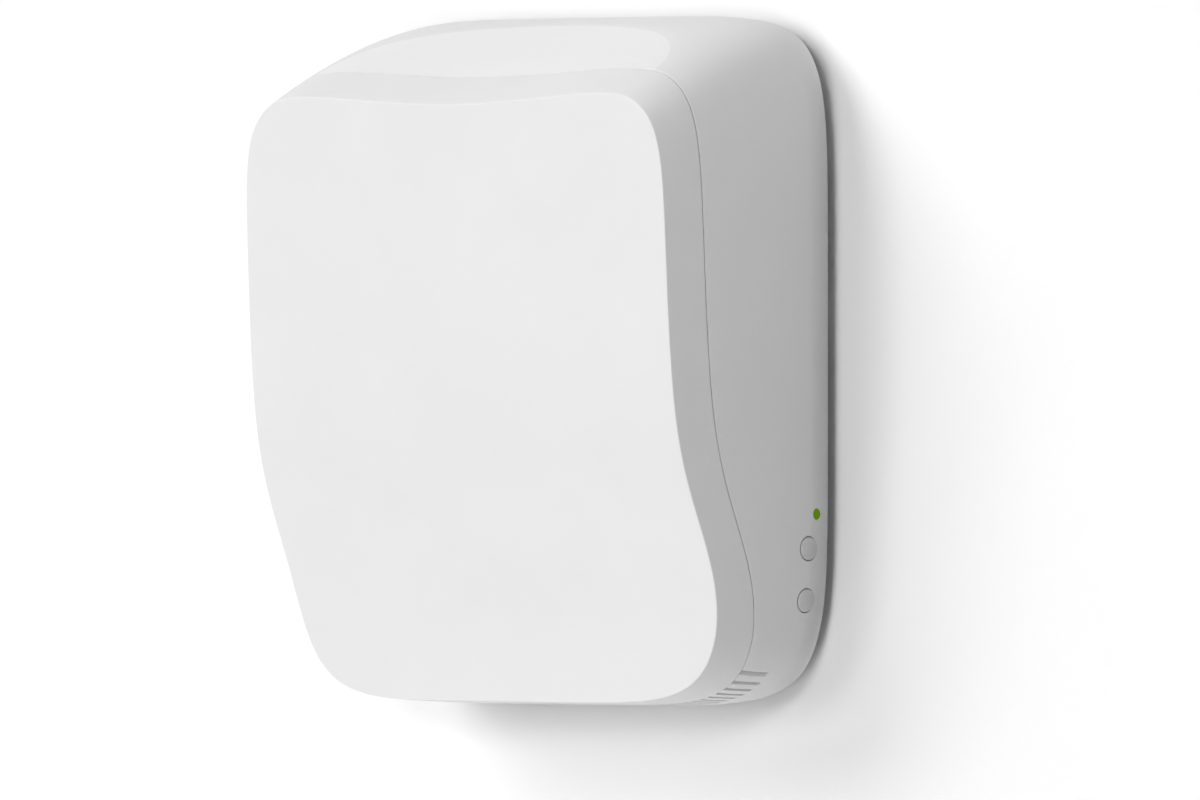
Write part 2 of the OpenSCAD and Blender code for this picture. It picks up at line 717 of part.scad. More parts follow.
// ---- Circuit board and what it carries ----
// The board reaches this far past the switches, and this far above the light
board_past = 0.2;
board_head_room = 5;
sink_z = 8;
sink_screw_inset = 4;
sink_screw_points = [for (x = [-1, 1], z = [-1, 1])
    [x * (sink_w / 2 - sink_screw_inset), sink_z + z * (sink_h / 2 - sink_screw_inset)]];
module main_board() {
    lobe_x = bay_out + board_clear;
    notch_z = bay_top_z + bay_wall + 2 * seat_gap;
    side_x = switch_x + board_past;
    color("seagreen") difference() {
        slab(board_rear, board_t) difference() {
            union() {
                translate([-board_half_w, board_low_z])
                    square([2 * board_half_w, board_top_z - board_low_z]);
                translate([0, board_low_z]) square([side_x, light_z + board_head_room - board_low_z]);
            }
            translate([-lobe_x, board_low_z - past]) square([2 * lobe_x, notch_z - board_low_z + past]);
        }
        for (p = concat(standoff_points, sink_screw_points))
            post(p[0], p[1], board_rear - past, board_t + 2 * past, board_hole_d);
    }
}
module board_screws() {
    color("silver") for (p = standoff_points)
        pan_screw(p[0], p[1], board_front, board_t + standoff_hole - 2 * seat_gap,
                  board_screw_d, board_head, false);
}
// A package on the board's front at [x, z], with its width, height and thickness
module chip(at, size) {
    block(at[0] - size[0] / 2, at[0] + size[0] / 2, board_front, board_front + size[2],
          at[1] - size[1] / 2, at[1] + size[1] / 2);
}

// Jacks: a folded shield, a moulded insert with its plug cavity, and eight spring contacts
shield_t = 0.3;
insert_gap = 0.5;
cavity_w = 11.9;
cavity_floor = board_front + 2.1;
cavity_h = 8;
cavity_len = 14;
latch_w = 6.4;
latch_h = 1.9;
contact_w = 0.45;
contact_pitch = 1.27;
module jack_shield(x) {
    color("silver") difference() {
        block(x - jack_w / 2, x + jack_w / 2, board_front, board_front + jack_h,
              jack_base_z, jack_base_z + jack_len);
        block(x - jack_w / 2 + shield_t, x + jack_w / 2 - shield_t, board_front + shield_t,
              board_front + jack_h - shield_t, jack_base_z - past, jack_base_z + jack_len - shield_t);
    }
}
module jack_insert(x) {
    color("dimgray") difference() {
        block(x - jack_w / 2 + insert_gap, x + jack_w / 2 - insert_gap, board_front + insert_gap,
              board_front + jack_h - insert_gap,
              jack_base_z + insert_gap, jack_base_z + jack_len - insert_gap);
        block(x - cavity_w / 2, x + cavity_w / 2, cavity_floor, cavity_floor + cavity_h,
              jack_base_z, jack_base_z + cavity_len);
        block(x - latch_w / 2, x + latch_w / 2, cavity_floor + cavity_h - past,
              cavity_floor + cavity_h + latch_h,
              jack_base_z, jack_base_z + cavity_len);
    }
}
// Eight wires that lie on the cavity's floor and bend back towards its mouth
module jack_contacts(x) {
    f = -cavity_floor;
    low = jack_base_z + 2.5;
    high = jack_base_z + cavity_len - 1;
    color("gold") for (i = [0:7]) {
        left = x + (i - 3.5) * contact_pitch - contact_w / 2;
        profile_x(left, left + contact_w)
            polygon([[f, low], [f, high], [f - 0.5, high], [f - 2, low + 2], [f - 1.7, low + 1.7],
                     [f - 0.35, high - 1.4], [f - 0.35, low]]);
    }
}
module left_jack_shield() { jack_shield(-jack_x); }
module right_jack_shield() { jack_shield(jack_x); }
module left_jack_insert() { jack_insert(-jack_x); }
module right_jack_insert() { jack_insert(jack_x); }
module left_jack_contacts() { jack_contacts(-jack_x); }
module right_jack_contacts() { jack_contacts(jack_x); }
transformer_size = [15, 12, 6.2];
transformer_gap = 5.3;
transformer_z = jack_base_z + jack_len + transformer_gap + transformer_size[1] / 2;
module line_transformers() {
    color("black") for (s = [-1, 1]) chip([s * jack_x, transformer_z], transformer_size);
}
ethernet_chip_at = [0, -29];
ethernet_chip_size = [9, 9, 0.9];
module ethernet_chip() { color("black") chip(ethernet_chip_at, ethernet_chip_size); }

soc_t = 1.7;
pad_t = 0.6;
sink_seat = board_front + soc_t + pad_t;
fin_t = 1.2;
screw_well_d = 7;
pad_inset = 0.5;
module processor() { color("darkslategray") chip([0, sink_z], [soc_side, soc_side, soc_t]); }
module thermal_pad() {
    r = soc_side / 2 - pad_inset;
    color("lightblue") block(-r, r, board_front + soc_t, sink_seat, sink_z - r, sink_z + r);
}
module heat_sink() {
    pitch = (sink_w - fin_t) / (fin_count - 1);
    color("silver") difference() {
        union() {
            block(-sink_w / 2, sink_w / 2, sink_seat, sink_seat + sink_base,
                  sink_z - sink_h / 2, sink_z + sink_h / 2);
            for (i = [0:fin_count - 1]) {
                x = -sink_w / 2 + i * pitch;
                block(x, x + fin_t, sink_seat + sink_base / 2, sink_seat + sink_base + fin_h,
                      sink_z - sink_h / 2, sink_z + sink_h / 2);
            }
        }
        for (p = sink_screw_points) {
            post(p[0], p[1], sink_seat - past, sink_base + fin_h + 2 * past, board_hole_d);
            post(p[0], p[1], sink_seat + sink_base, fin_h + past, screw_well_d);
        }
    }
}
module heat_sink_screws() {
    color("silver") for (p = sink_screw_points)
        pan_screw(p[0], p[1], sink_seat + sink_base, sink_base + sink_seat - board_rear,
                  board_screw_d, board_head, false);
}
memory_size = [8, 12, 1];
memory_gap = 4;
module memory_chips() {
    x = (soc_side + memory_size[0]) / 2 + memory_gap;
    color("black") for (s = [-1, 1]) chip([s * x, sink_z], memory_size);
}
flash_at = [-16, 50];
flash_size = [8, 6, 1];
module flash_chip() { color("black") chip(flash_at, flash_size); }
crystal_points = [[12, 44], [0, -22]];
crystal_size = [3.2, 2.5, 0.8];
module crystals() { color("silver") for (at = crystal_points) chip(at, crystal_size); }
can_edge = 3.7;
can_x = board_half_w - can_w / 2 - can_edge;
can_z = 17;
can_hole_d = 1.6;
can_hole_pitch = [9, 11];
can_wall = 0.3;
lid_gap = 0.1;
lid_low = board_front + 0.8;
can_front = board_front + can_t;
// A box over a radio shield's footprint, wider by `grow` each way
module can_block(x, grow, d0, d1) {
    block(x - can_w / 2 - grow, x + can_w / 2 + grow, d0, d1,
          can_z - can_h / 2 - grow, can_z + can_h / 2 + grow);
}
module shield_frame(x) {
    color("silver") difference() {
        can_block(x, 0, board_front, can_front - can_wall - lid_gap);
        can_block(x, -can_wall, board_front - past, can_front);
    }
}
module shield_lid(x) {
    color("lightgray") difference() {
        can_block(x, lid_gap + can_wall, lid_low, can_front);
        can_block(x, lid_gap, lid_low - past, can_front - can_wall);
        for (i = [-1:1], k = [-1:1])
            post(x + i * can_hole_pitch[0], can_z + k * can_hole_pitch[1],
                 can_front - past, 2 * past, can_hole_d);
    }
}
module left_shield_frame() { shield_frame(-can_x); }
module right_shield_frame() { shield_frame(can_x); }
module left_shield_lid() { shield_lid(-can_x); }
module right_shield_lid() { shield_lid(can_x); }
power_at_board = [board_half_w - 21.7, -26];
power_base = [16, 12, 2.4];
power_winding = [13, 9.5, 9];
power_core = [16, 5, 10.5];
inductor_at = [5.5 - board_half_w, -27];
inductor_pitch = 11;
inductor_base = [8, 8, 1.2];
inductor_d = 6.6;
inductor_h = 4;
capacitor_x = [board_half_w - 26.7, board_half_w - 13.7];
capacitor_z = -46;
capacitor_d = 8;
capacitor_h = 10;
module power_transformer() {
    color("khaki") union() {
        chip(power_at_board, power_base);
        chip(power_at_board, power_winding);
        chip(power_at_board, power_core);
    }
}
module power_inductors() {
    color("dimgray") for (i = [0:2]) union() {
        at = inductor_at + [i * inductor_pitch, 0];
        chip(at, inductor_base);
        post(at[0], at[1], board_front + inductor_base[2] / 2, inductor_h - inductor_base[2] / 2, inductor_d);
    }
}
module power_capacitors() {
    color("slategray") for (s = [-1, 1], x = capacitor_x)
        post(s * x, capacitor_z, board_front, capacitor_h, capacitor_d);
}
socket_t = 1;
socket_base = [3, 3, 0.6];
socket_d = 2;
upper_socket = [board_half_w - 27.7, 47];
lower_socket = [board_half_w - 13.7, 47];
module lead_sockets() {
    color("gold") for (s = [-1, 1], p = [upper_socket, lower_socket]) union() {
        chip([s * p[0], p[1]], socket_base);
        post(s * p[0], p[1], board_front + socket_base[2] / 2, socket_t - socket_base[2] / 2, socket_d);
    }
}

// ---- Antenna frame, antennas and their leads ----
frame_front = frame_depth + frame_t;
frame_rim = 4.5;
frame_side_bar = 20;
frame_top_bar = 30;
frame_low_bar = 14;
frame_half_w = post_top[0] + frame_rim;
frame_high = post_top[1] + frame_rim;
frame_low = post_low_z - frame_rim;
antenna_w = 9;
antenna_t = 0.5;
upper_antenna = [frame_half_w - 22.5, frame_high - 16];
lower_antenna = [frame_half_w - 10.5, -20];
feed_inset = 8;
feed_offset = antenna_len / 2 - feed_inset;
feed_w = 3;
lead_clear = 0.5;
arm_short = 3;
window_corner = 6;
upper_feed = [upper_antenna[0] - feed_offset, upper_antenna[1]];
lower_feed = [lower_antenna[0], lower_antenna[1] + feed_offset];
module antenna_frame() {
    window_half_w = frame_half_w - frame_side_bar;
    window_low = frame_low + frame_low_bar;
    window_high = frame_high - frame_top_bar;
    color("gainsboro") difference() {
        slab(frame_depth, frame_t) difference() {
            translate([0, (frame_high + frame_low) / 2])
                rounded_rect(2 * frame_half_w, frame_high - frame_low, window_corner);
            translate([0, (window_high + window_low) / 2])
                rounded_rect(2 * window_half_w, window_high - window_low, window_corner);
        }
        for (p = post_points) post(p[0], p[1], frame_depth - past, frame_t + 2 * past, board_hole_d);
        for (s = [-1, 1], p = [upper_feed, lower_feed])
            post(s * p[0], p[1], frame_depth - past, frame_t + 2 * past, lead_d + 2 * lead_clear);
    }
}
module frame_screws() {
    color("silver") for (p = post_points)
        pan_screw(p[0], p[1], frame_front, frame_t + frame_screw_len - past,
                  board_screw_d, board_head, false);
}
// A folded sheet-metal antenna along X, centred at [0, 0] on the frame's front face
module antenna_sheet() {
    half = antenna_len / 2;
    edge = antenna_w / 2 - 1;
    top = frame_front + antenna_rise;
    block(-half, half, frame_front, frame_front + antenna_t, -antenna_w / 2, antenna_w / 2);
    block(-half, half - arm_short, top - antenna_t, top, -antenna_w / 2, edge);
    block(-half, -half + antenna_t, frame_front, top, -antenna_w / 2, edge);
    block(-feed_offset - feed_w / 2, -feed_offset + feed_w / 2, frame_front, top, edge - antenna_t, edge);
}
module upper_antenna_at() { translate([upper_antenna[0], 0, upper_antenna[1]]) antenna_sheet(); }
module lower_antenna_at() {
    translate([lower_antenna[0], 0, lower_antenna[1]]) rotate([0, 90, 0]) antenna_sheet();
}
module upper_right_antenna() { color("goldenrod") upper_antenna_at(); }
module upper_left_antenna() { color("goldenrod") mirror([1, 0, 0]) upper_antenna_at(); }
module lower_right_antenna() { color("goldenrod") lower_antenna_at(); }
module lower_left_antenna() { color("goldenrod") mirror([1, 0, 0]) lower_antenna_at(); }

// A lead swept along a Bezier curve from an antenna's feed to its socket
lead_rings = 16;
lead_sides = 8;
lead_ease = 15;
plug_t = 1;
plug_d = 3;
function bezier(p, t) =
    let (u = 1 - t) u * u * u * p[0] + 3 * u * u * t * p[1] + 3 * u * t * t * p[2] + t * t * t * p[3];
function bezier_way(p, t) =
    let (u = 1 - t) 3 * u * u * (p[1] - p[0]) + 6 * u * t * (p[2] - p[1]) + 3 * t * t * (p[3] - p[2]);
function unit(v) = v / norm(v);
function lead_ring(p, t) =
    let (c = bezier(p, t),
         way = unit(bezier_way(p, t)),
         side = unit(cross(way, [1, 0, 0])),
         up = cross(side, way))
    [for (k = [0:lead_sides - 1]) let (a = 360 * k / lead_sides)
        c + lead_d / 2 * (cos(a) * side + sin(a) * up)];
module lead(feed, socket) {
    plug_depth = board_front + socket_t;
    start = [feed[0], -frame_front, feed[1]];
    end = [socket[0], -plug_depth - plug_t, socket[1]];
    p = [start, start + [0, lead_ease, 0], end - [0, lead_ease, 0], end];
    rings = [for (i = [0:lead_rings]) lead_ring(p, i / lead_rings)];
    n = lead_sides;
    last = lead_rings * n;
    polyhedron([for (r = rings) each r], concat(
        [[for (k = [n - 1:-1:0]) k], [for (k = [0:n - 1]) last + k]],
        [for (r = [0:lead_rings - 1], k = [0:n - 1])
            let (a = r * n + k, b = r * n + (k + 1) % n) each [[a, b, a + n], [b, b + n, a + n]]]));
    post(socket[0], socket[1], plug_depth, plug_t, plug_d);
}
module upper_right_lead() { color("dimgray") lead(upper_feed, upper_socket); }
module lower_right_lead() { color("dimgray") lead(lower_feed, lower_socket); }
module upper_left_lead() { color("dimgray") mirror([1, 0, 0]) lead(upper_feed, upper_socket); }
module lower_left_lead() { color("dimgray") mirror([1, 0, 0]) lead(lower_feed, lower_socket); }

wall_plate();
main_housing();
front_cover();
back_panel();
case_screws();
upper_button();
upper_plunger();
upper_switch();
lower_button();
lower_plunger();
lower_switch();
light_pipe();
status_led();
main_board();
board_screws();
left_jack_shield();
left_jack_insert();
left_jack_contacts();
right_jack_shield();
right_jack_insert();
right_jack_contacts();
line_transformers();
ethernet_chip();
processor();
thermal_pad();
heat_sink();
heat_sink_screws();
memory_chips();
flash_chip();
crystals();
left_shield_frame();
left_shield_lid();
right_shield_frame();
right_shield_lid();
power_transformer();
power_inductors();
power_capacitors();
lead_sockets();
antenna_frame();
frame_screws();
upper_left_antenna();
upper_right_antenna();
lower_left_antenna();
lower_right_antenna();
upper_left_lead();
upper_right_lead();
lower_left_lead();
lower_right_lead();
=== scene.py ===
"""Looks of a wall-mounted wireless access point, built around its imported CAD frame. Metres throughout."""

import json
import math

import bpy
import numpy as np
from mathutils import Matrix, Vector

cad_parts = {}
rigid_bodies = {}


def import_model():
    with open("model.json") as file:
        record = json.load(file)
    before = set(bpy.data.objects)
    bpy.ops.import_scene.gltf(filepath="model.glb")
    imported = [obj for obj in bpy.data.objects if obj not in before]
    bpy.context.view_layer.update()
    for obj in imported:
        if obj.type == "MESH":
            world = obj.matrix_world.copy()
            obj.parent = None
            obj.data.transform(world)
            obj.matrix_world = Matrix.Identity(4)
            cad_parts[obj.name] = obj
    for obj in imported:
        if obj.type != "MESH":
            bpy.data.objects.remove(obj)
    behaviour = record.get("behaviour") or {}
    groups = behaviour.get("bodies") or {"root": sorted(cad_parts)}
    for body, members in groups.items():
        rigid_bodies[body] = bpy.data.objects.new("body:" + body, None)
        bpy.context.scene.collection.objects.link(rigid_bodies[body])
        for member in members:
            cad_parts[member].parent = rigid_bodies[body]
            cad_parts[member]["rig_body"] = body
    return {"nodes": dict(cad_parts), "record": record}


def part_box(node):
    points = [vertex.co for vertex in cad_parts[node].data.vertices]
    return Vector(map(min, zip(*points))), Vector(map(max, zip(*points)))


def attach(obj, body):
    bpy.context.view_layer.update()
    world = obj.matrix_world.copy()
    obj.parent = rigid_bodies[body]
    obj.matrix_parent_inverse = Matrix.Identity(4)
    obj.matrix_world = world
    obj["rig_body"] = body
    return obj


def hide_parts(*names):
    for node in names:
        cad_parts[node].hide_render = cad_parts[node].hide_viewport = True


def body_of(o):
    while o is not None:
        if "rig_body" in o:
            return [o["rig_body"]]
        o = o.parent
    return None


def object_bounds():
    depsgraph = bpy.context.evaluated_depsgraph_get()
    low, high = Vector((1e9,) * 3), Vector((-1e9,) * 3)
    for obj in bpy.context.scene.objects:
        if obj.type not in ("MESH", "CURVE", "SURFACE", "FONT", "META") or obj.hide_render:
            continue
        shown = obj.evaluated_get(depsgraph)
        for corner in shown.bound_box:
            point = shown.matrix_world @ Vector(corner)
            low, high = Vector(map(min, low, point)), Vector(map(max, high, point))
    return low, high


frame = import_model()
cad_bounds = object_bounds()

MM = 0.001

# ---- Driving dimensions of the shell, the same as the CAD's ----
BODY_W = 175 * MM
TOP_H = 96.75 * MM
BOTTOM_H = 102 * MM
WALL_GAP = 3 * MM
DRAFT = 3.85 * MM
DRAFT_START = 14 * MM
DRAFT_RUN = 62 * MM
TOP_FALL = 22.1 * MM
TOP_FALL_POWER = 1.55
UPPER_POWER = (6.85, 7.4)
LOWER_POWER = (6.45, 6.2)
FRONT_LIMIT = 76 * MM
TUCK_RUN = 12 * MM
TUCK_CREASE = 0.25
SIDE_TUCK = 5.9 * MM
TOP_TUCK = 0.75 * MM
BOTTOM_TUCK = 1.8 * MM
FACE_DEPTH = 70.7 * MM
FACE_SLOPE = 0.043
FOOT_DEPTH = 47.3 * MM
BEND_Z = -52.3 * MM
BEND_SOFT = 13.45 * MM
WALL = 2.2 * MM
COVER_DEPTH = 14.45 * MM
SEAM_GAP = 0.35 * MM
TONGUE_GAP = 0.35 * MM
TONGUE_INSET = WALL + TONGUE_GAP
TONGUE_T = 1.4 * MM
TONGUE_REACH = 3 * MM
TONGUE_ROOT = 5 * MM
TONGUE_SLOPE = 3 * MM
SCOOP_HALF_W = 71.3 * MM
SCOOP_RUN = 33 * MM
SCOOP_DROP = 3.85 * MM
FRONT_DIP = 4.85 * MM
SCOOP_POWER = 1.65
VENT_PITCH = 3.22 * MM
VENT_W = 1.2 * MM
VENT_RUN = 10.8 * MM
VENT_HALF_ROW = 77.4 * MM
FLANGE_DEPTH = 7.7 * MM
FLANGE_T = 1.6 * MM
FLANGE_INSET = 9 * MM
BAY_HALF_W = 40 * MM
BAY_FLOOR_Z = -94 * MM
BAY_WALL = 1.8 * MM
SEAT_GAP = 0.3 * MM
BOSS_INSET = 9.5 * MM
BOSS_R = 3.5 * MM
BOSS_LEN = 10 * MM
BOSS_HOLE_R = 1.55 * MM
BOSS_ANGLES = (57, 90, 123, 172, 230, 310, 8)
RIB_T = 1.6 * MM
BUTTON_R = 3.3 * MM
BUTTON_DEPTH = 15.7 * MM
BUTTON_PROUD = 0.7 * MM
BUTTON_GAP = 0.3 * MM
BUTTON_HEIGHTS = {"upper_button": -56.5 * MM, "lower_button": -71.4 * MM}
LIGHT_R = 1.55 * MM
LIGHT_Z = -46.6 * MM
LIGHT_DEPTH = 12.4 * MM
LIGHT_DOME_R = 7 * MM
HOLE_CLEAR = 0.15 * MM

# ---- Edges and curves that only the looks need ----
BUTTON_DOME_R = 10 * MM
SEAM_CHAMFER = 0.12 * MM
SEAM_SINK = 0.3 * MM
SEAM_SINK_RUN = 6 * MM
FRONT_FILLET = 0.3 * MM
GUARD = 0.15 * MM
CAP_FILLET = 0.3 * MM
HOLE_CHAMFER = 0.2 * MM

# ---- Sizes that follow from those ----
SEAM_OFF = COVER_DEPTH + SEAM_GAP / 2
COVER_OFF = COVER_DEPTH - SEAM_GAP / 2
FLANGE_FRONT = FLANGE_DEPTH + FLANGE_T
BUTTON_HOLE_R = BUTTON_R + BUTTON_GAP


# ---- Laws of the outer shape ----
def draft_at(d):
    return DRAFT * (np.maximum(0, d - DRAFT_START) / DRAFT_RUN) ** 2


def tuck_at(d):
    u = 1 - np.clip((d - WALL_GAP) / TUCK_RUN, 0, 1)
    return TUCK_CREASE * u + (1 - TUCK_CREASE) * (1 - np.sqrt(1 - u ** 2))


def half_w(d):
    return BODY_W / 2 - draft_at(d) - SIDE_TUCK * tuck_at(d)


def top_at(d):
    fall = (np.maximum(0, d - DRAFT_START) / DRAFT_RUN) ** TOP_FALL_POWER
    return TOP_H - TOP_FALL * fall - TOP_TUCK * tuck_at(d)


def bottom_at(d):
    return BOTTOM_H - draft_at(d) - BOTTOM_TUCK * tuck_at(d)


def mix(a, b, t):
    return a + (b - a) * np.clip(t, 0, 1)


def power_at(d, up):
    t = d / FRONT_LIMIT
    return np.where(up, mix(*UPPER_POWER, t), mix(*LOWER_POWER, t))


def face_at(z):
    """Depth of the front face at a height."""
    return FOOT_DEPTH + (FACE_DEPTH + FACE_SLOPE * z - FOOT_DEPTH) / (1 + np.exp(-(z - BEND_Z) / BEND_SOFT))


def outline(phi, d, s):
    """Width and height of the outline at a depth, set in by s, before the scoop."""
    up = np.sin(phi) >= 0
    a = half_w(d) - s
    b = np.where(up, top_at(d), bottom_at(d)) - s
    n = power_at(d, up)
    rho = (np.abs(np.cos(phi)) ** n + np.abs(np.sin(phi)) ** n) ** (-1 / n)
    return a * np.cos(phi) * rho, b * np.sin(phi) * rho


def flank_x(d, z, s=0.0):
    """Half width of the shell at a depth and height."""
    n = power_at(d, z >= 0)
    b = (top_at(d) if z >= 0 else bottom_at(d)) - s
    return float((half_w(d) - s) * (1 - (abs(z) / b) ** n) ** (1 / n))


def under_z(d, x, s):
    """Distance of the underside below the origin at a depth and width."""
    n = power_at(d, False)
    b = bottom_at(d) - s
    return float(b * (1 - min(abs(x) / (half_w(d) - s), 1) ** n) ** (1 / n))


TOP_SEAM_DEPTH = float(face_at(top_at(FACE_DEPTH)) - COVER_DEPTH)


def scoop_at(x, d):
    """Drop of the top in the finger scoop and of the dip ahead of it.

    The housing's edge sinks a little more towards the seam.
    """
    back = np.maximum(0, (TOP_SEAM_DEPTH - d) / SCOOP_RUN)
    ahead = np.clip((d - TOP_SEAM_DEPTH) / COVER_DEPTH, 0, 1)
    out = np.minimum(1, np.hypot(x / SCOOP_HALF_W, back))
    sink = np.clip(1 - (TOP_SEAM_DEPTH - d) / SEAM_SINK_RUN, 0, 1)
    near_seam = np.where(d < TOP_SEAM_DEPTH, sink, 0)
    return (mix(SCOOP_DROP, FRONT_DIP, ahead) + SEAM_SINK * near_seam) * (1 - out ** SCOOP_POWER)


def skin_point(phi, d, s):
    x, z = outline(phi, d, s)
    z = z - np.where(np.sin(phi) > 0, scoop_at(x, d), 0)
    return np.stack([x, -d + 0 * x, z], axis=1)


DEPTH_GUESS = 55 * MM
DEPTH_STEPS = 8


def edge_depth(phi, off, s):
    """Depth at `off` behind the front face, solved for the height it has there."""
    d = np.full_like(phi, DEPTH_GUESS)
    for _ in range(DEPTH_STEPS):
        d = face_at(outline(phi, d, s)[1]) - off
    return d


def edge_ring(phi, off, s):
    return skin_point(phi, edge_depth(phi, off, s), s)


# ---- Mesh helpers ----
TOP_ARC = (44, 136)
FINE_TURN = 0.25
COARSE_TURN = 0.6


def outline_angles():
    """Angles once round the outline, closer together over the top, where the scoop is."""
    start, end = TOP_ARC
    last = start + 360
    top = np.arange(start, end, FINE_TURN)
    rest = np.linspace(end, last, round((last - end) / COARSE_TURN), endpoint=False)
    return np.radians(np.concatenate([top, rest]))


OUTLINE_ANGLES = outline_angles()


def object_from(name, points, faces):
    mesh = bpy.data.meshes.new(name)
    mesh.from_pydata(points, [], faces)
    mesh.update()
    obj = bpy.data.objects.new(name, mesh)
    bpy.context.scene.collection.objects.link(obj)
    return obj


def band(a, b, n):
    """Quads between the ring that starts at vertex a and the ring that starts at vertex b."""
    return [(a + i, a + (i + 1) % n, b + (i + 1) % n, b + i) for i in range(n)]


def ring_object(name, rings, closed=False, start=None, end=None):
    """A skin through rings of equal count.

    It is joined up, or closed by a point before the first ring and one after the last.
    """
    n = len(rings[0])
    points = [tuple(p) for ring in rings for p in ring]
    faces = [f for r in range(len(rings) - 1) for f in band(r * n, (r + 1) * n, n)]
    last = (len(rings) - 1) * n
    if closed:
        faces += band(last, 0, n)
    if start is not None:
        points.append(tuple(start))
        faces += [(len(points) - 1, (i + 1) % n, i) for i in range(n)]
    if end is not None:
        points.append(tuple(end))
        faces += [(len(points) - 1, last + i, last + (i + 1) % n) for i in range(n)]
    obj = object_from(name, points, faces)
    outwards(obj)
    return obj


def outwards(obj):
    """Turns every face out if the closed mesh came out inside out."""
    mesh = obj.data
    mesh.calc_loop_triangles()
    co = np.array([v.co for v in mesh.vertices])
    tri = np.array([t.vertices for t in mesh.loop_triangles])
    a, b, c = co[tri[:, 0]], co[tri[:, 1]], co[tri[:, 2]]
    if np.einsum("ij,ij->i", a, np.cross(b, c)).sum() < 0:
        mesh.flip_normals()


SHARP_ANGLE = math.radians(30)


def smooth(obj):
    for p in obj.data.polygons:
        p.use_smooth = True
    obj.data.set_sharp_from_angle(angle=SHARP_ANGLE)


def boolean(obj, tools, operation):
    """Joins the tools into one, applies them to obj and deletes them."""
    with bpy.context.temp_override(active_object=tools[0], selected_editable_objects=tools):
        bpy.ops.object.join()
    tool = tools[0]
    mod = obj.modifiers.new("cut", "BOOLEAN")
    mod.operation = operation
    mod.solver = "MANIFOLD"
    mod.object = tool
    graph = bpy.context.evaluated_depsgraph_get()
    mesh = bpy.data.meshes.new_from_object(obj.evaluated_get(graph))
    obj.modifiers.clear()
    obj.data = mesh
    bpy.data.objects.remove(tool)


def block(x0, x1, d0, d1, z0, z1):
    corners = [(x, -d, z) for x in (x0, x1) for d in (d0, d1) for z in (z0, z1)]
    faces = [(0, 1, 3, 2), (4, 6, 7, 5), (0, 4, 5, 1), (2, 3, 7, 6), (0, 2, 6, 4), (1, 5, 7, 3)]
    obj = object_from("block", corners, faces)
    outwards(obj)
    return obj


def profile_solid(x0, x1, outline_points):
    """A profile of (depth, height) points drawn out along X."""
    n = len(outline_points)
    points = [(x, -d, z) for x in (x0, x1) for d, z in outline_points]
    faces = [tuple(range(n)), tuple(range(2 * n - 1, n - 1, -1))]
    faces += [(i, i + n, (i + 1) % n + n, (i + 1) % n) for i in range(n)]
    obj = object_from("profile", points, faces)
    outwards(obj)
    return obj


ROUND_SIDES = 96
ACROSS = (1, 0, 0)


def circle_points(centre, axis, radius, along):
    """A ring round an axis through centre, `along` metres up it."""
    turn = np.array(Vector((0, 0, 1)).rotation_difference(Vector(axis)).to_matrix())
    angle = np.linspace(0, 2 * math.pi, ROUND_SIDES, endpoint=False)
    ring = np.stack([radius * np.cos(angle), radius * np.sin(angle), np.full_like(angle, along)], axis=1)
    return np.array(centre) + ring @ turn.T


def lathe(name, profile, centre, axis):
    """A solid turned from (radius, distance along the axis) pairs, closed at both ends."""
    rings = [circle_points(centre, axis, r, h) for r, h in profile]
    way = np.array(axis, float)
    ends = [np.array(centre) + profile[i][1] * way for i in (0, -1)]
    return ring_object(name, rings, start=ends[0], end=ends[1])


# ---- Front cover ----
BAND_ROWS = 12
FILLET_ROWS = 6
FACE_ROWS = 40
INNER_FACE_ROWS = 16
EDGE_BLEND_POWER = 8


def face_rings(phi, off, s, count):
    """Rings of the front face, shrinking to its middle. Their depth runs from the edge's to the face's."""
    edge = edge_ring(phi, off, s)
    edge_lift = -edge[:, 1] - (face_at(edge[:, 2]) - off)
    rings = []
    for k in range(1, count):
        t = 1 - k / count
        x, z = edge[:, 0] * t, edge[:, 2] * t
        depth = face_at(z) - off + edge_lift * t ** EDGE_BLEND_POWER
        rings.append(np.stack([x, -depth, z], axis=1))
    return rings


def cover_rings(phi):
    """Rings of the outside, from the seam to the middle of the front face."""
    rings = [edge_ring(phi, COVER_OFF, SEAM_CHAMFER), edge_ring(phi, COVER_OFF - SEAM_CHAMFER, 0)]
    near, far = COVER_OFF - SEAM_CHAMFER - GUARD, FRONT_FILLET + GUARD
    rings += [edge_ring(phi, near + (far - near) * k / BAND_ROWS, 0) for k in range(BAND_ROWS + 1)]
    for k in range(FILLET_ROWS + 1):
        turn = k / FILLET_ROWS * math.pi / 2
        back = FRONT_FILLET * (1 - math.sin(turn))
        inset = FRONT_FILLET * (1 - math.cos(turn))
        rings.append(edge_ring(phi, back, inset))
    rings.append(edge_ring(phi, 0, FRONT_FILLET + GUARD))
    rings += face_rings(phi, 0, FRONT_FILLET + GUARD, FACE_ROWS)
    return rings


def cover_inner_rings(phi):
    """Rings of the inside, from the middle of the front face back to the seam."""
    rings = face_rings(phi, WALL, WALL, INNER_FACE_ROWS)[::-1]
    rings += [edge_ring(phi, WALL + (COVER_OFF - WALL) * k / BAND_ROWS, WALL) for k in range(BAND_ROWS + 1)]
    return rings


FOOT_X = 48.3 * MM
FOOT_W = 9 * MM
FOOT_T = 1.8 * MM
FOOT_GAP = 0.7 * MM
TAB_X = 34 * MM
TAB_W = 12 * MM
TAB_T = 1.6 * MM
TAB_GAP = 0.5 * MM
TAB_REACH = 9 * MM
TAB_ROOT = 3.5 * MM
TAB_STEP = 1 * MM
CATCH_RISE = 1.2 * MM
HINGE_DEPTH = float(edge_depth(np.array([-math.pi / 2]), COVER_DEPTH, 0)[0])


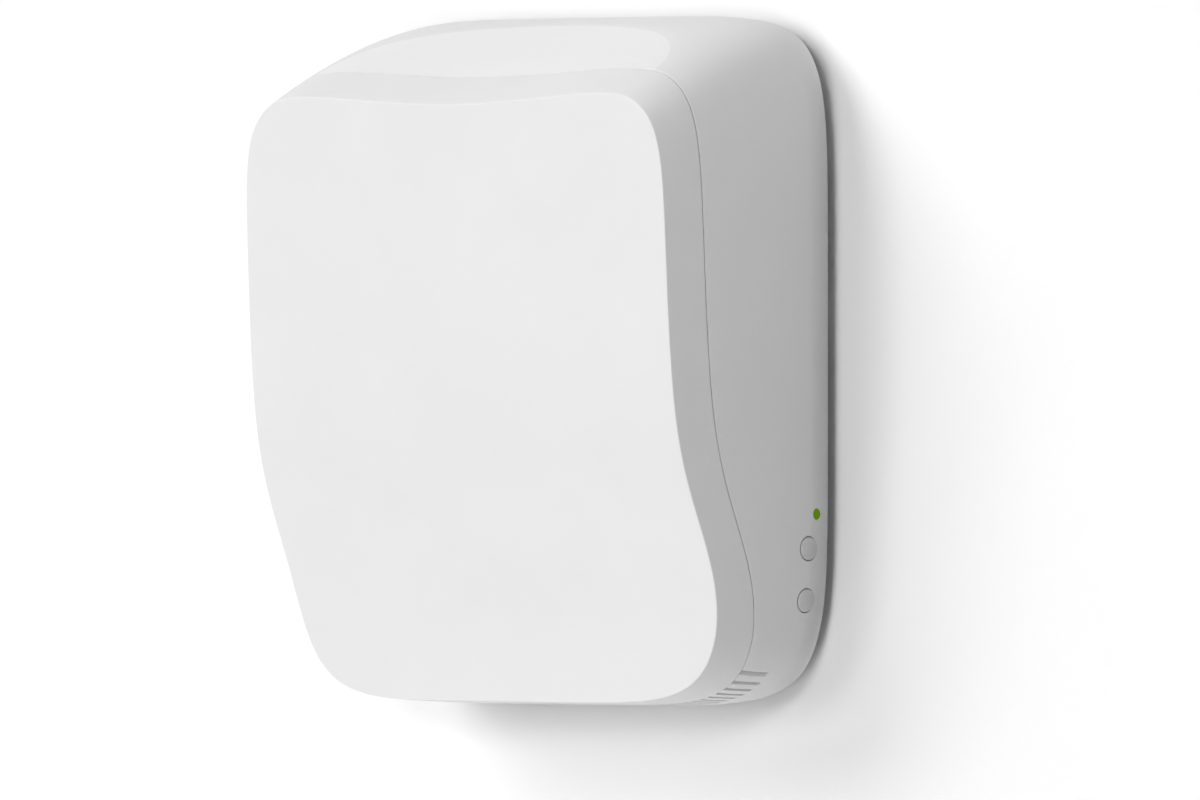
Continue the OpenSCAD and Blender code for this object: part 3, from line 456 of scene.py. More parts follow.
def cover_foot(x):
    """A foot that reaches back over the housing's tongue and turns down behind it."""
    base = -under_z(HINGE_DEPTH, abs(x) + FOOT_W / 2, 0)
    arm_low = base + TONGUE_INSET + TONGUE_T + 2 * FOOT_GAP
    arm_top = arm_low + FOOT_T
    toe = HINGE_DEPTH - TONGUE_ROOT - TONGUE_SLOPE - FOOT_T
    rib = HINGE_DEPTH + TONGUE_REACH + FOOT_T + FOOT_GAP
    return profile_solid(x - FOOT_W / 2, x + FOOT_W / 2, [
        (toe, base + WALL + FOOT_GAP), (toe + FOOT_T, base + WALL + FOOT_GAP), (toe + FOOT_T, arm_low),
        (rib, arm_low), (rib, base + WALL / 2), (rib + FOOT_T, base + WALL / 2), (rib + FOOT_T, arm_top),
        (toe, arm_top)])


def cover_tab(x):
    """A springy tab with a small catch, rooted in the middle of the sloping top wall."""
    def wall_mid(d):
        return float(top_at(d) - scoop_at(x, d) - WALL / 2)

    tip = TOP_SEAM_DEPTH + TONGUE_REACH
    top = float(top_at(tip) - scoop_at(abs(x) - TAB_W / 2, tip)) - TONGUE_INSET - TONGUE_T - TAB_GAP
    low = top - TAB_T
    root_0 = tip + TAB_STEP
    root_1 = root_0 + TAB_ROOT
    catch_0 = tip - TAB_REACH
    catch_1 = catch_0 + TAB_T
    return profile_solid(x - TAB_W / 2, x + TAB_W / 2, [
        (catch_0, low), (catch_0, top + CATCH_RISE), (catch_1, top + CATCH_RISE), (catch_1, top),
        (root_0, top), (root_0, wall_mid(root_0)), (root_1, wall_mid(root_1)),
        (root_1, wall_mid(root_1) - 2 * TAB_T), (root_0, low)])


def build_cover():
    """The front shell with its feet and tabs."""
    phi = OUTLINE_ANGLES
    outer = cover_rings(phi)
    inner = cover_inner_rings(phi)
    n = len(phi)
    points = [tuple(p) for ring in outer for p in ring] + [(0, -float(face_at(0)), 0)]
    shift = len(points)
    points += [tuple(p) for ring in inner for p in ring] + [(0, -float(face_at(0) - WALL), 0)]
    faces = [f for r in range(len(outer) - 1) for f in band(r * n, (r + 1) * n, n)]
    faces += [f for r in range(len(inner) - 1) for f in band(shift + r * n, shift + (r + 1) * n, n)]
    faces += band(shift + (len(inner) - 1) * n, 0, n)
    last = (len(outer) - 1) * n
    faces += [(shift - 1, last + i, last + (i + 1) % n) for i in range(n)]
    faces += [(len(points) - 1, shift + (i + 1) % n, shift + i) for i in range(n)]
    cover = object_from("front_cover_shell", points, faces)
    outwards(cover)
    feet = [cover_foot(s * FOOT_X) for s in (-1, 1)]
    tabs = [cover_tab(s * TAB_X) for s in (-1, 1)]
    boolean(cover, feet + tabs, "UNION")
    smooth(cover)
    return cover


# ---- Main housing ----
TUCK_ROWS = 16
SIDE_ROWS = 96
INNER_ROWS = 12
# How far a cutter reaches past what it cuts, and half the length of a cutter through the flank
PAST = 1 * MM
BORE_REACH = BODY_W / 6
VENT_PAST = 0.3 * MM
# A piece that joins a wall starts one of these parts of the wall's thickness into it
WALL_PARTS = 3
BOSS_START = FLANGE_DEPTH + FLANGE_T / WALL_PARTS
# How far a rib stays back from each end of its boss
RIB_SETBACK = 1 * MM
# Keeps a whole number of pitches from being rounded down
ROUNDING = 1e-6


def housing_rings(phi):
    """Rings from the rear rim over the outside to the seam, round the tongue and back along the inside."""
    rings = []
    for k in range(TUCK_ROWS):
        t = 1 - math.cos(k / TUCK_ROWS * math.pi / 2)
        rings.append(skin_point(phi, np.full_like(phi, WALL_GAP + TUCK_RUN * t), 0))
    near, far = WALL_GAP + TUCK_RUN, edge_depth(phi, SEAM_OFF + SEAM_CHAMFER + GUARD, 0)
    rings += [skin_point(phi, near + (far - near) * k / SIDE_ROWS, 0) for k in range(SIDE_ROWS + 1)]
    tip = TONGUE_INSET + TONGUE_T
    rings += [
        edge_ring(phi, SEAM_OFF + SEAM_CHAMFER, 0),
        edge_ring(phi, SEAM_OFF, SEAM_CHAMFER),
        edge_ring(phi, SEAM_OFF, TONGUE_INSET),
        edge_ring(phi, SEAM_OFF - TONGUE_REACH, TONGUE_INSET),
        edge_ring(phi, SEAM_OFF - TONGUE_REACH, tip),
        edge_ring(phi, SEAM_OFF + TONGUE_ROOT, tip),
        edge_ring(phi, SEAM_OFF + TONGUE_ROOT + TONGUE_SLOPE, WALL)]
    near = edge_depth(phi, SEAM_OFF + TONGUE_ROOT + TONGUE_SLOPE, WALL)
    rings += [skin_point(phi, near + (FLANGE_FRONT - near) * k / INNER_ROWS, WALL)
              for k in range(1, INNER_ROWS + 1)]
    rings += [skin_point(phi, np.full_like(phi, d), s) for d, s in (
        (FLANGE_FRONT, FLANGE_INSET), (FLANGE_DEPTH, FLANGE_INSET), (FLANGE_DEPTH, WALL), (WALL_GAP, WALL))]
    return rings


def boss_point(angle):
    x, z = outline(np.radians([angle]), np.array([FLANGE_DEPTH]), BOSS_INSET)
    return float(x[0]), float(z[0])


def post(x, z, depth, length, radius):
    return lathe("post", [(radius, 0), (radius, length)], (x, -depth, z), (0, -1, 0))


def boss_rib(angle):
    """A thin rib from a boss to the shell's wall."""
    x, z = boss_point(angle)
    in_wall = outline(np.radians([angle]), np.array([FLANGE_DEPTH]), WALL / WALL_PARTS)
    wx, wz = (float(v[0]) for v in in_wall)
    length = math.hypot(wx - x, wz - z)
    start = BOSS_START + RIB_SETBACK
    rib = block(0, length, start, start + BOSS_LEN - 2 * RIB_SETBACK, -RIB_T / 2, RIB_T / 2)
    turn = Matrix.Rotation(-math.atan2(wz - z, wx - x), 4, "Y")
    rib.data.transform(Matrix.Translation((x, 0, z)) @ turn)
    return rib


def flank_normal(depth, z):
    """The outward direction of the right flank, from small steps along it."""
    step = 0.5 * MM
    along_depth = (flank_x(depth + step, z) - flank_x(depth - step, z)) / (2 * step)
    along_height = (flank_x(depth, z + step) - flank_x(depth, z - step)) / (2 * step)
    return Vector((1, along_depth, -along_height)).normalized()


def hole_cutter(depth, z, radius):
    """A straight bore along X through the right flank."""
    profile = [(radius, -BORE_REACH), (radius, BORE_REACH)]
    return lathe("bore", profile, (flank_x(depth, z), -depth, z), ACROSS)


def countersink(depth, z, radius):
    """A small cone that breaks a hole's edge, square to the flank's surface."""
    flare = 1 * MM
    profile = [(radius - flare, -HOLE_CHAMFER - flare), (radius + flare, flare - HOLE_CHAMFER)]
    return lathe("countersink", profile, (flank_x(depth, z), -depth, z), flank_normal(depth, z))


def vent_cutters():
    """Slots through the underside behind the seam, side by side along X."""
    count = int(VENT_HALF_ROW / VENT_PITCH + ROUNDING)
    cutters = []
    for i in range(-count, count + 1):
        x = i * VENT_PITCH
        seam = float(face_at(-under_z(FOOT_DEPTH - COVER_DEPTH, x, 0))) - SEAM_OFF
        top = -under_z(seam - VENT_RUN / 2, x, WALL + VENT_PAST)
        left = x - VENT_W / 2
        right = x + VENT_W / 2
        cutters.append(block(left, right, seam - VENT_RUN, seam + PAST, -BOTTOM_H - PAST, top))
    return cutters


def build_housing():
    """The side shell with its screw bosses and ribs, the holes in its right flank and its vents."""
    housing = ring_object("main_housing_shell", housing_rings(OUTLINE_ANGLES), closed=True)
    boolean(housing, [post(*boss_point(a), BOSS_START, BOSS_LEN, BOSS_R) for a in BOSS_ANGLES], "UNION")
    boolean(housing, [boss_rib(a) for a in BOSS_ANGLES], "UNION")
    bay_half = BAY_HALF_W + BAY_WALL + SEAT_GAP
    bay_low = BAY_FLOOR_Z - BAY_WALL - SEAT_GAP
    relief = block(-bay_half, bay_half, FLANGE_DEPTH - PAST, FLANGE_FRONT + PAST, bay_low, 0)
    heights = BUTTON_HEIGHTS.values()
    cuts = [post(*boss_point(a), FLANGE_DEPTH - PAST, BOSS_LEN, BOSS_HOLE_R) for a in BOSS_ANGLES]
    cuts += [hole_cutter(BUTTON_DEPTH, z, BUTTON_HOLE_R) for z in heights]
    cuts += [hole_cutter(LIGHT_DEPTH, LIGHT_Z, LIGHT_R + HOLE_CLEAR)]
    cuts += vent_cutters() + [relief]
    boolean(housing, cuts, "DIFFERENCE")
    boolean(housing, [countersink(BUTTON_DEPTH, z, BUTTON_HOLE_R) for z in heights], "DIFFERENCE")
    smooth(housing)
    return housing


# ---- Buttons and status light ----
CAP_ROWS = 10
CAP_FILLET_ROWS = 5
CAP_FLANGE = 1 * MM
STEM_R = 2.1 * MM


def build_button(name):
    """A cap with a leaning dome, a rounded rim, a flange behind the wall and a stem to the plunger."""
    z = BUTTON_HEIGHTS[name]
    low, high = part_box(name)
    lean = math.atan((flank_x(BUTTON_DEPTH, z + MM) - flank_x(BUTTON_DEPTH, z - MM)) / (2 * MM))
    reach = BUTTON_PROUD - BUTTON_DOME_R
    middle_x = flank_x(BUTTON_DEPTH, z) + reach * math.cos(lean)
    middle = np.array([middle_x, -BUTTON_DEPTH, z - reach * math.sin(lean)])
    centre = (0, -BUTTON_DEPTH, z)
    flange_r = (high.z - low.z) / 2
    cap_back = flank_x(BUTTON_DEPTH - flange_r, z - flange_r, WALL) - SEAT_GAP - CAP_FLANGE
    rings = []

    def domed(radius, drop):
        ring = circle_points(centre, ACROSS, radius, 0)
        away = (ring[:, 1] - middle[1]) ** 2 + (ring[:, 2] - middle[2]) ** 2
        ring[:, 0] = middle[0] + np.sqrt(BUTTON_DOME_R ** 2 - away) - drop
        return ring

    for k in range(1, CAP_ROWS + 1):
        rings.append(domed((BUTTON_R - CAP_FILLET) * k / CAP_ROWS, 0))
    for k in range(1, CAP_FILLET_ROWS + 1):
        turn = k / CAP_FILLET_ROWS * math.pi / 2
        radius = BUTTON_R - CAP_FILLET * (1 - math.sin(turn))
        rings.append(domed(radius, CAP_FILLET * (1 - math.cos(turn))))
    flange_and_stem = (
        (BUTTON_R, cap_back + CAP_FLANGE),
        (flange_r, cap_back + CAP_FLANGE),
        (flange_r, cap_back),
        (STEM_R, cap_back),
        (STEM_R, low.x))
    rings += [circle_points(centre, ACROSS, radius, x) for radius, x in flange_and_stem]
    top = domed(0, 0)[0]
    button = ring_object(name + "_cap", rings, start=top, end=(low.x, -BUTTON_DEPTH, z))
    smooth(button)
    return button


def build_light_pipe():
    """The light guide: a rod with a shallow dome just proud of the flank, and a flange behind the wall."""
    low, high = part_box("light_pipe")
    flange_r = (high.z - low.z) / 2
    back = flank_x(LIGHT_DEPTH - flange_r, LIGHT_Z - flange_r, WALL) - SEAT_GAP - CAP_FLANGE
    dome = []
    for k in range(CAP_ROWS, 0, -1):
        r = LIGHT_R * k / CAP_ROWS
        dome.append((r, high.x - LIGHT_DOME_R + math.sqrt(LIGHT_DOME_R ** 2 - r ** 2)))
    profile = [(LIGHT_R, low.x), (LIGHT_R, back), (flange_r, back), (flange_r, back + CAP_FLANGE),
               (LIGHT_R, back + CAP_FLANGE)] + dome
    rings = [circle_points((0, -LIGHT_DEPTH, LIGHT_Z), ACROSS, r, x) for r, x in profile]
    back_middle = (low.x, -LIGHT_DEPTH, LIGHT_Z)
    dome_top = (high.x, -LIGHT_DEPTH, LIGHT_Z)
    pipe = ring_object("light_guide", rings, start=back_middle, end=dome_top)
    smooth(pipe)
    return pipe


# ---- Materials ----
class Tree:
    """The node tree of a material or a world, with short helpers."""

    def __init__(self, owner):
        owner.use_nodes = True
        self.tree = owner.node_tree

    def link(self, a, b):
        self.tree.links.new(a, b)

    def add(self, kind, **settings):
        node = self.tree.nodes.new("ShaderNode" + kind)
        for key, value in settings.items():
            setattr(node, key, value)
        return node

    def fill(self, node, **sockets):
        """Sets a node's unlinked inputs; an underscore in a key stands for a space."""
        for key, value in sockets.items():
            node.inputs[key.replace("_", " ")].default_value = value

    def maths(self, operation, *values):
        node = self.add("Math", operation=operation)
        for socket, value in zip(node.inputs, values):
            if isinstance(value, (int, float)):
                socket.default_value = value
            else:
                self.link(value, socket)
        return node.outputs["Value"]


# Most of a noise lies between these
NOISE_LOW = 0.3
NOISE_HIGH = 0.7


class Surface(Tree):
    """A material's tree round its principled shader."""

    def __init__(self, material):
        super().__init__(material)
        self.material = material
        self.shader = self.tree.nodes["Principled BSDF"]
        self.place = self.add("TexCoord").outputs["Object"]

    def stretched(self, scale):
        """Object coordinates multiplied by a factor along each axis."""
        node = self.add("Mapping")
        self.fill(node, Scale=scale)
        self.link(self.place, node.inputs["Vector"])
        return node.outputs["Vector"]

    def noise(self, size, detail=3, place=None):
        node = self.add("TexNoise")
        self.fill(node, Scale=1 / size, Detail=detail)
        self.link(place or self.place, node.inputs["Vector"])
        return node.outputs["Fac"]

    def ramp(self, value, low, high):
        """Spreads the part of a value between NOISE_LOW and NOISE_HIGH over a range."""
        node = self.add("MapRange")
        self.fill(node, From_Min=NOISE_LOW, From_Max=NOISE_HIGH, To_Min=low, To_Max=high)
        self.link(value, node.inputs["Value"])
        return node.outputs["Result"]

    def blend(self, value, low, high):
        node = self.add("Mix", data_type="RGBA")
        node.inputs["A"].default_value = (*low, 1)
        node.inputs["B"].default_value = (*high, 1)
        self.link(value, node.inputs["Factor"])
        return node.outputs["Result"]

    def bump(self, value, height, strength=1.0):
        node = self.add("Bump")
        self.fill(node, Distance=height, Strength=strength)
        self.link(value, node.inputs["Height"])
        self.link(node.outputs["Normal"], self.shader.inputs["Normal"])

    def colour(self, value):
        self.link(value, self.shader.inputs["Base Color"])

    def roughness(self, value):
        self.link(value, self.shader.inputs["Roughness"])

    def set(self, **sockets):
        self.fill(self.shader, **sockets)


def surface(name):
    return Surface(bpy.data.materials.new(name))


def shade(colour, factor):
    return tuple(c * factor for c in colour)


CLOUD_SIZE = 30 * MM
CLOUD_TINT = 0.01
SHEEN_SIZE = 3 * MM
SHEEN_SPREAD = 0.03
GRAIN_DETAIL = 2


def moulded(name, colour, roughness, grain=0.35 * MM, height=0.004 * MM):
    """Moulded plastic: a fine spark-eroded grain, faint cloudiness and a slightly uneven sheen."""
    n = surface(name)
    cloud = n.ramp(n.noise(CLOUD_SIZE), 0, 1)
    n.colour(n.blend(cloud, shade(colour, 1 - CLOUD_TINT), shade(colour, 1 + CLOUD_TINT)))
    n.roughness(n.ramp(n.noise(SHEEN_SIZE), roughness - SHEEN_SPREAD, roughness + SHEEN_SPREAD))
    n.bump(n.noise(grain, GRAIN_DETAIL), height)
    return n.material


WHITE = (0.80, 0.80, 0.80)
# Painted light on the finger scoop's floor: how much brighter its colour is painted, how far below the top it
# reaches and how far out across the scoop
SCOOP_PAINTED_LIGHT = 1.075
PAINTED_LIGHT_DEPTH = 20 * MM
PAINTED_LIGHT_REACH = 0.95


def shell(name, colour, roughness):
    """The moulded shell, a little lighter on the floor of the finger scoop: painted light, not a different
    finish.
    """
    n = Surface(moulded(name, colour, roughness))
    axes = n.add("SeparateXYZ")
    n.link(n.place, axes.inputs["Vector"])
    across = n.maths("DIVIDE", axes.outputs["X"], SCOOP_HALF_W)
    back = n.maths("DIVIDE", n.maths("ADD", axes.outputs["Y"], TOP_SEAM_DEPTH), SCOOP_RUN)
    away = n.maths("ADD", n.maths("MULTIPLY", across, across), n.maths("MULTIPLY", back, back))
    inside = n.maths("LESS_THAN", away, PAINTED_LIGHT_REACH ** 2)
    on_top = n.maths("GREATER_THAN", axes.outputs["Z"], TOP_H - PAINTED_LIGHT_DEPTH)
    plain = n.shader.inputs["Base Color"].links[0].from_socket
    # Painted light: the scoop's floor gets a brighter copy of the shell's colour
    lighter = n.add("Mix", data_type="RGBA")
    n.link(n.maths("MULTIPLY", inside, on_top), lighter.inputs["Factor"])
    n.link(plain, lighter.inputs["A"])
    lighter.inputs["B"].default_value = (*shade(colour, SCOOP_PAINTED_LIGHT), 1)
    n.colour(lighter.outputs["Result"])
    return n.material


STREAK_DETAIL = 4
STREAK_DARK = 0.9
STREAK_LIGHT = 1.05


def metal(name, colour, roughness, stretch=(1, 1, 1), grain=1.2 * MM, spread=0.08, height=0.002 * MM):
    """Bare or plated metal: streaks along the way it was rolled or drawn."""
    n = surface(name)
    streak = n.noise(grain, STREAK_DETAIL, n.stretched(stretch))
    n.colour(n.blend(n.ramp(streak, 0, 1), shade(colour, STREAK_DARK), shade(colour, STREAK_LIGHT)))
    n.roughness(n.ramp(streak, roughness - spread, roughness + spread))
    n.bump(streak, height)
    n.set(Metallic=1.0)
    return n.material


SPANGLE_SIZE = 4 * MM
SPANGLE_GREYS = ((0.50, 0.51, 0.52), (0.66, 0.67, 0.68))
SPANGLE_ROUGHNESS = (0.34, 0.46)


def zinc_sheet(name, grain=0.8 * MM, height=0.004 * MM):
    """Zinc-plated sheet: soft spangles of slightly different brightness."""
    n = surface(name)
    cells = n.add("TexVoronoi")
    n.fill(cells, Scale=1 / SPANGLE_SIZE)
    n.link(n.place, cells.inputs["Vector"])
    grey = n.add("RGBToBW")
    n.link(cells.outputs["Color"], grey.inputs["Color"])
    n.colour(n.blend(grey.outputs["Val"], *SPANGLE_GREYS))
    n.roughness(n.ramp(grey.outputs["Val"], *SPANGLE_ROUGHNESS))
    n.bump(n.noise(grain), height)
    n.set(Metallic=0.85)
    return n.material


TRACE_PITCH = 7 * MM
TRACE_HEIGHT = 0.03 * MM
TRACE_PATCH = 14 * MM
MASK_GREEN = (0.012, 0.11, 0.045)
TRACE_GREEN = (0.05, 0.27, 0.11)
BLACK = (0, 0, 0, 1)
FULL_WHITE = (1, 1, 1, 1)


def laminate(name):
    """Circuit board: solder mask over faint traces, stronger in patches."""
    n = surface(name)
    bricks = n.add("TexBrick")
    n.fill(bricks, Scale=1 / TRACE_PITCH, Mortar_Size=0.03, Mortar_Smooth=0.1)
    n.fill(bricks, Color1=BLACK, Color2=BLACK, Mortar=FULL_WHITE)
    turn = n.add("Mapping")
    n.fill(turn, Rotation=(math.pi / 2, 0, 0))
    n.link(n.place, turn.inputs["Vector"])
    n.link(turn.outputs["Vector"], bricks.inputs["Vector"])
    patch = n.ramp(n.noise(TRACE_PATCH, 1), 0, 1)
    traces = n.maths("MULTIPLY", bricks.outputs["Color"], patch)
    n.colour(n.blend(traces, MASK_GREEN, TRACE_GREEN))
    n.bump(traces, TRACE_HEIGHT, strength=0.6)
    n.set(Roughness=0.32)
    return n.material


EPOXY_GREYS = ((0.022, 0.022, 0.024), (0.045, 0.045, 0.048))


def package(name, grain=0.15 * MM, height=0.006 * MM):
    """Moulded epoxy chip package, matt with a fine grain."""
    n = surface(name)
    specks = n.noise(grain, GRAIN_DETAIL)
    n.colour(n.blend(n.ramp(specks, 0, 1), *EPOXY_GREYS))
    n.bump(specks, height)
    n.set(Roughness=0.55)
    return n.material


TURN_SHADE = 0.8
TURN_HEIGHT = 0.05 * MM


def wound(name, colour, pitch):
    """Tape or wire wound round a core: fine turns across it."""
    n = surface(name)
    turns = n.add("TexWave", bands_direction="Z")
    n.fill(turns, Scale=1 / pitch, Distortion=0.4)
    n.link(n.place, turns.inputs["Vector"])
    n.colour(n.blend(turns.outputs["Fac"], shade(colour, TURN_SHADE), colour))
    n.bump(turns.outputs["Fac"], TURN_HEIGHT, strength=0.5)
    n.set(Roughness=0.4)
    return n.material


FROST_SIZE = 0.5 * MM
FROST_SHADE = 0.9
FROST_DIM = 0.92


def glowing(name, colour, light, strength):
    """A lit, faintly frosted guide."""
    n = surface(name)
    frost = n.ramp(n.noise(FROST_SIZE), 0, 1)
    n.colour(n.blend(frost, shade(colour, FROST_SHADE), colour))
    n.link(n.blend(frost, shade(light, FROST_DIM), light), n.shader.inputs["Emission Color"])
    n.set(Roughness=0.4, Emission_Strength=strength, Specular_IOR_Level=0.05)
    return n.material


# Each record slot: the function that makes its material, and what it is given
MATERIALS = {
    "white_cover": (moulded, dict(colour=WHITE, roughness=0.46)),
    "white_shell": (shell, dict(colour=WHITE, roughness=0.46)),
    "grey_button": (moulded, dict(colour=(0.63, 0.63, 0.63), roughness=0.42)),
    "grey_panel": (moulded, dict(colour=(0.60, 0.61, 0.62), roughness=0.5, height=0.008 * MM)),
    "dark_plastic": (moulded, dict(colour=(0.045, 0.045, 0.05), roughness=0.42)),
    "green_light_pipe": (glowing, dict(
        colour=(0.02, 0.05, 0.002), light=(0.105, 0.20, 0.003), strength=0.85)),
    "led_body": (glowing, dict(colour=(0.7, 0.78, 0.5), light=(0.3, 0.6, 0.05), strength=0.4)),
    "zinc_plate": (zinc_sheet, {}),
    "screw_steel": (metal, dict(colour=(0.58, 0.58, 0.57), roughness=0.3, grain=0.5 * MM)),
    "board_laminate": (laminate, {}),
    "tinned_shield": (metal, dict(
        colour=(0.72, 0.72, 0.70), roughness=0.38, grain=9 * MM, spread=0.04, height=0.001 * MM)),
    "gold_contact": (metal, dict(colour=(0.85, 0.62, 0.24), roughness=0.25, grain=0.4 * MM)),
    "chip_black": (package, {}),
    "thermal_pad": (moulded, dict(
        colour=(0.33, 0.48, 0.60), roughness=0.7, grain=0.5 * MM, height=0.02 * MM)),
    "sink_aluminium": (metal, dict(
        colour=(0.68, 0.69, 0.70), roughness=0.38, stretch=(8, 8, 0.5), grain=4 * MM)),
    "winding_tape": (wound, dict(colour=(0.62, 0.48, 0.10), pitch=1.2 * MM)),
    "ferrite_grey": (moulded, dict(colour=(0.13, 0.13, 0.14), roughness=0.6, height=0.02 * MM)),
    "capacitor_can": (metal, dict(
        colour=(0.66, 0.67, 0.70), roughness=0.34, grain=6 * MM, spread=0.04, height=0.001 * MM)),
    "antenna_sheet": (metal, dict(
        colour=(0.72, 0.50, 0.22), roughness=0.3, stretch=(0.5, 6, 6), grain=3 * MM)),
    "lead_jacket": (moulded, dict(colour=(0.05, 0.05, 0.055), roughness=0.5)),
}


def finish_piece(piece, slot, made):
    """Gives a piece the material of a record slot, in place of any it has."""
    if slot not in made:
        maker, settings = MATERIALS[slot]
        made[slot] = maker(slot, **settings)
    piece.data.materials.clear()
    piece.data.materials.append(made[slot])


# ---- Stage, lights and camera ----
STAGE_HALF = 3.0
FLOOR_Z = -0.5
WALL_Y = 0.5 * MM
# How white the stage is to the camera, and to the light that it throws back
STAGE_WHITE = 1.0
STAGE_BOUNCE = 0.75
# How far inside the object's outline the open patch of the wall ends
PATCH_INSET = 6 * MM
# The first rays from what the camera sees count less than this, and the later ones more
FIRST_RAYS = 1.5
# Strength of the light from behind the wall, and the height of a direction along Y at which it is full
BEHIND = 0.6
BEHIND_FULL = 0.3
# Each lamp: degrees from straight ahead towards the right flank, degrees up, strength, size in degrees
LAMPS = {
    "front": (23, 12, 0.60, 12),
    "low_front": (20, -8, 0.41, 12),
    "lower_front": (16, -26, 0.43, 15),
    "near_left": (-13, 6, 0.56, 16),
    "high_left": (-32, 32, 1.08, 34),
    "far_left": (-59, 28, 0.50, 40),
    "right": (62, -30, 0.08, 30),
    "top": (54, 81, 0.56, 26),
    "low_left": (-86, -41, 0.88, 26),
    "below": (-50, -68, 0.68, 26),
}


def stage_plane(name, centre, normal):
    """A large square facing `normal`."""
    half = STAGE_HALF
    corners = [(-half, -half, 0), (half, -half, 0), (half, half, 0), (-half, half, 0)]
    obj = object_from(name, corners, [(0, 1, 2, 3)])
    turn = Vector((0, 0, 1)).rotation_difference(Vector(normal)).to_matrix().to_4x4()
    obj.data.transform(Matrix.Translation(centre) @ turn)
    return obj


def backdrop_material(name, behind=None):
    """White where unshadowed, and open to whatever comes from behind it.

    It is also open to the first rays from what the camera sees, so that light from behind reaches the object.
    With `behind`, a patch's (centre height, half width, half height), only that patch is open to them.
    """
    material = bpy.data.materials.new(name)
    n = Tree(material)
    n.tree.nodes.clear()
    path = n.add("LightPath")
    place = n.add("NewGeometry")
    front = n.maths("SUBTRACT", 1, place.outputs["Backfacing"])
    seen = path.outputs["Is Camera Ray"]
    rays = n.maths("ADD", path.outputs["Diffuse Depth"], path.outputs["Is Shadow Ray"])
    solid = n.maths("MAXIMUM", seen, n.maths("GREATER_THAN", rays, FIRST_RAYS))
    if behind is not None:
        height, half_width, half_height = behind
        axes = n.add("SeparateXYZ")
        n.link(place.outputs["Position"], axes.inputs[0])
        rise = n.maths("SUBTRACT", axes.outputs["Z"], height)
        wide = n.maths("GREATER_THAN", n.maths("ABSOLUTE", axes.outputs["X"]), half_width)
        tall = n.maths("GREATER_THAN", n.maths("ABSOLUTE", rise), half_height)
        solid = n.maths("MAXIMUM", solid, n.maths("MAXIMUM", wide, tall))
    matt = n.add("BsdfDiffuse")
    level = n.add("MapRange")
    n.fill(level, To_Min=STAGE_BOUNCE, To_Max=STAGE_WHITE)
    n.link(seen, level.inputs["Value"])
    n.link(level.outputs["Result"], matt.inputs["Color"])
    mixed = n.add("MixShader")
    n.link(n.maths("MULTIPLY", solid, front), mixed.inputs[0])
    n.link(n.add("BsdfTransparent").outputs[0], mixed.inputs[1])
    n.link(matt.outputs[0], mixed.inputs[2])
    n.link(mixed.outputs[0], n.add("OutputMaterial").inputs[0])
    return material


def build_stage():
    """A wall behind the object and a floor far below it."""
    low, high = cad_bounds
    half_height = (high.z - low.z) / 2 - PATCH_INSET
    covered = ((low.z + high.z) / 2, high.x - PATCH_INSET, half_height)
    wall = stage_plane("wall_backdrop", (0, WALL_Y, 0), (0, -1, 0))
    wall.data.materials.append(backdrop_material("wall_white", covered))
    floor = stage_plane("floor", (0, 0, FLOOR_Z), (0, 0, 1))
    floor.data.materials.append(backdrop_material("floor_white"))


def build_world():
    """White to the camera and in reflections; else it lights only from behind the wall's plane."""
    world = bpy.data.worlds.new("soft_studio")
    bpy.context.scene.world = world
    n = Tree(world)
    background = n.tree.nodes["Background"]
    n.fill(background, Color=FULL_WHITE)
    axes = n.add("SeparateXYZ")
    n.link(n.add("TexCoord").outputs["Generated"], axes.inputs[0])
    glow = n.add("MapRange")
    n.fill(glow, From_Max=BEHIND_FULL, To_Max=BEHIND)
    n.link(axes.outputs["Y"], glow.inputs["Value"])
    level = glow.outputs["Result"]
    path = n.add("LightPath")
    for name in ("Is Camera Ray", "Is Glossy Ray", "Is Transmission Ray"):
        level = n.maths("MAXIMUM", level, path.outputs[name])
    n.link(level, background.inputs["Strength"])


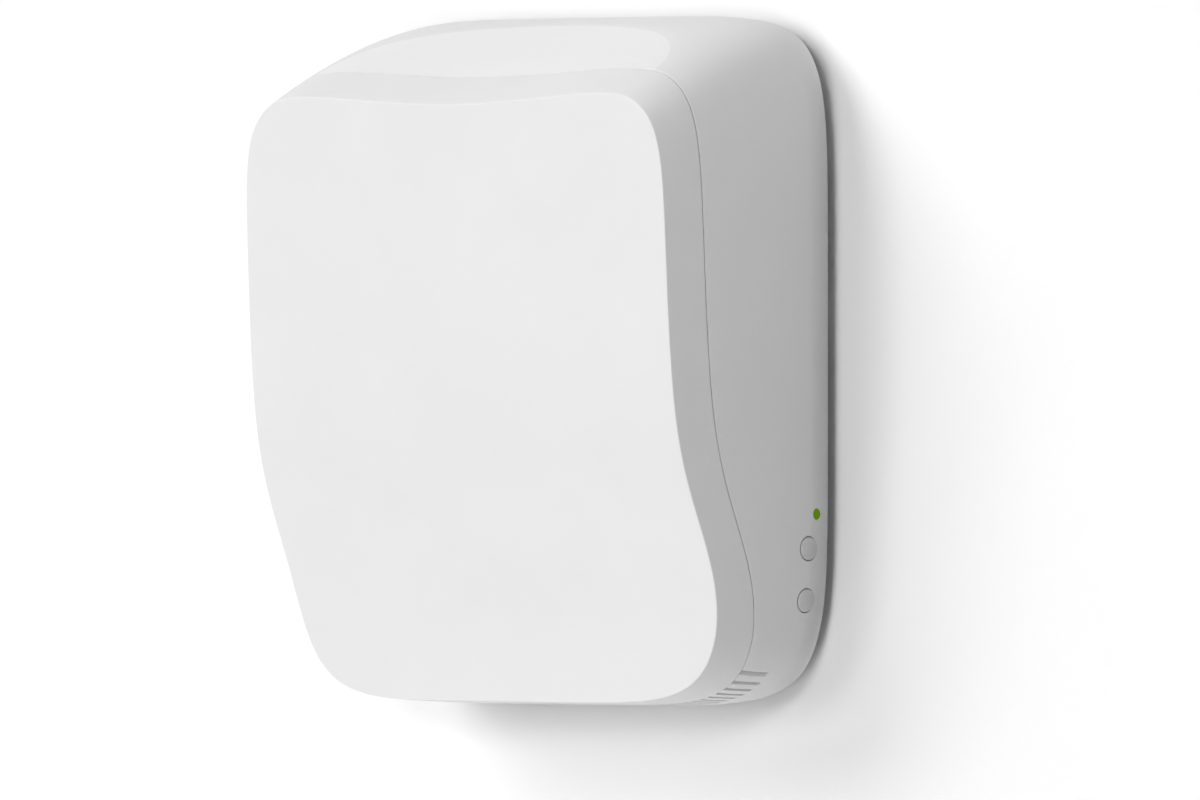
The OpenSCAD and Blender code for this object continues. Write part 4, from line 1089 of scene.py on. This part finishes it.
def build_lamp(name, turn, rise, strength, spread):
    """A far lamp, placed by the angles that LAMPS gives."""
    turn = math.radians(turn)
    rise = math.radians(rise)
    to_lamp = Vector((math.sin(turn) * math.cos(rise), -math.cos(turn) * math.cos(rise), math.sin(rise)))
    sun = bpy.data.lights.new(name, "SUN")
    sun.energy = strength
    sun.angle = math.radians(spread)
    lamp = bpy.data.objects.new(name, sun)
    bpy.context.scene.collection.objects.link(lamp)
    lamp.rotation_mode = "QUATERNION"
    lamp.rotation_quaternion = to_lamp.to_track_quat("Z", "Y")


CAMERA_TURN = math.radians(44)
CAMERA_DISTANCE = 6.0
CAMERA_LENS = 621
CAMERA_SENSOR = 36
CAMERA_RIGHT = -8.087 * MM
CAMERA_UP = -13.913 * MM


def build_camera():
    """A long lens, level with the object and turned to its right side."""
    ahead = Vector((-math.sin(CAMERA_TURN), math.cos(CAMERA_TURN), 0))
    right = Vector((math.cos(CAMERA_TURN), math.sin(CAMERA_TURN), 0))
    up = Vector((0, 0, 1))
    data = bpy.data.cameras.new("camera")
    data.sensor_width = CAMERA_SENSOR
    data.lens = CAMERA_LENS
    camera = bpy.data.objects.new("camera", data)
    bpy.context.scene.collection.objects.link(camera)
    camera.location = -CAMERA_DISTANCE * ahead + CAMERA_RIGHT * right + CAMERA_UP * up
    camera.rotation_mode = "QUATERNION"
    camera.rotation_quaternion = ahead.to_track_quat("-Z", "Y")
    bpy.context.scene.camera = camera


# ---- The scene ----
def build_pieces(made):
    """The pieces that replace a CAD node, each riding on that node's body."""
    replaced = {
        "front_cover": (build_cover(), "white_cover"),
        "main_housing": (build_housing(), "white_shell"),
        "upper_button": (build_button("upper_button"), "grey_button"),
        "lower_button": (build_button("lower_button"), "grey_button"),
        "light_pipe": (build_light_pipe(), "green_light_pipe"),
    }
    for node, (piece, slot) in replaced.items():
        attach(piece, body_of(frame["nodes"][node])[0])
        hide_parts(node)
        finish_piece(piece, slot, made)
    return replaced


def dress_frame(skip, made):
    """Every CAD node that stays gets the material of its record slot."""
    slots = {part["node"]: part["material_slot"] for part in frame["record"]["subparts"]}
    for name, node in frame["nodes"].items():
        if name not in skip:
            finish_piece(node, slots[name], made)


build_camera()
build_world()
for lamp_name, settings in LAMPS.items():
    build_lamp(lamp_name, *settings)
build_stage()
made_materials = {}
replaced_nodes = build_pieces(made_materials)
dress_frame(replaced_nodes, made_materials)
bpy.context.scene.view_settings.view_transform = "Standard"
bpy.context.view_layer.update()
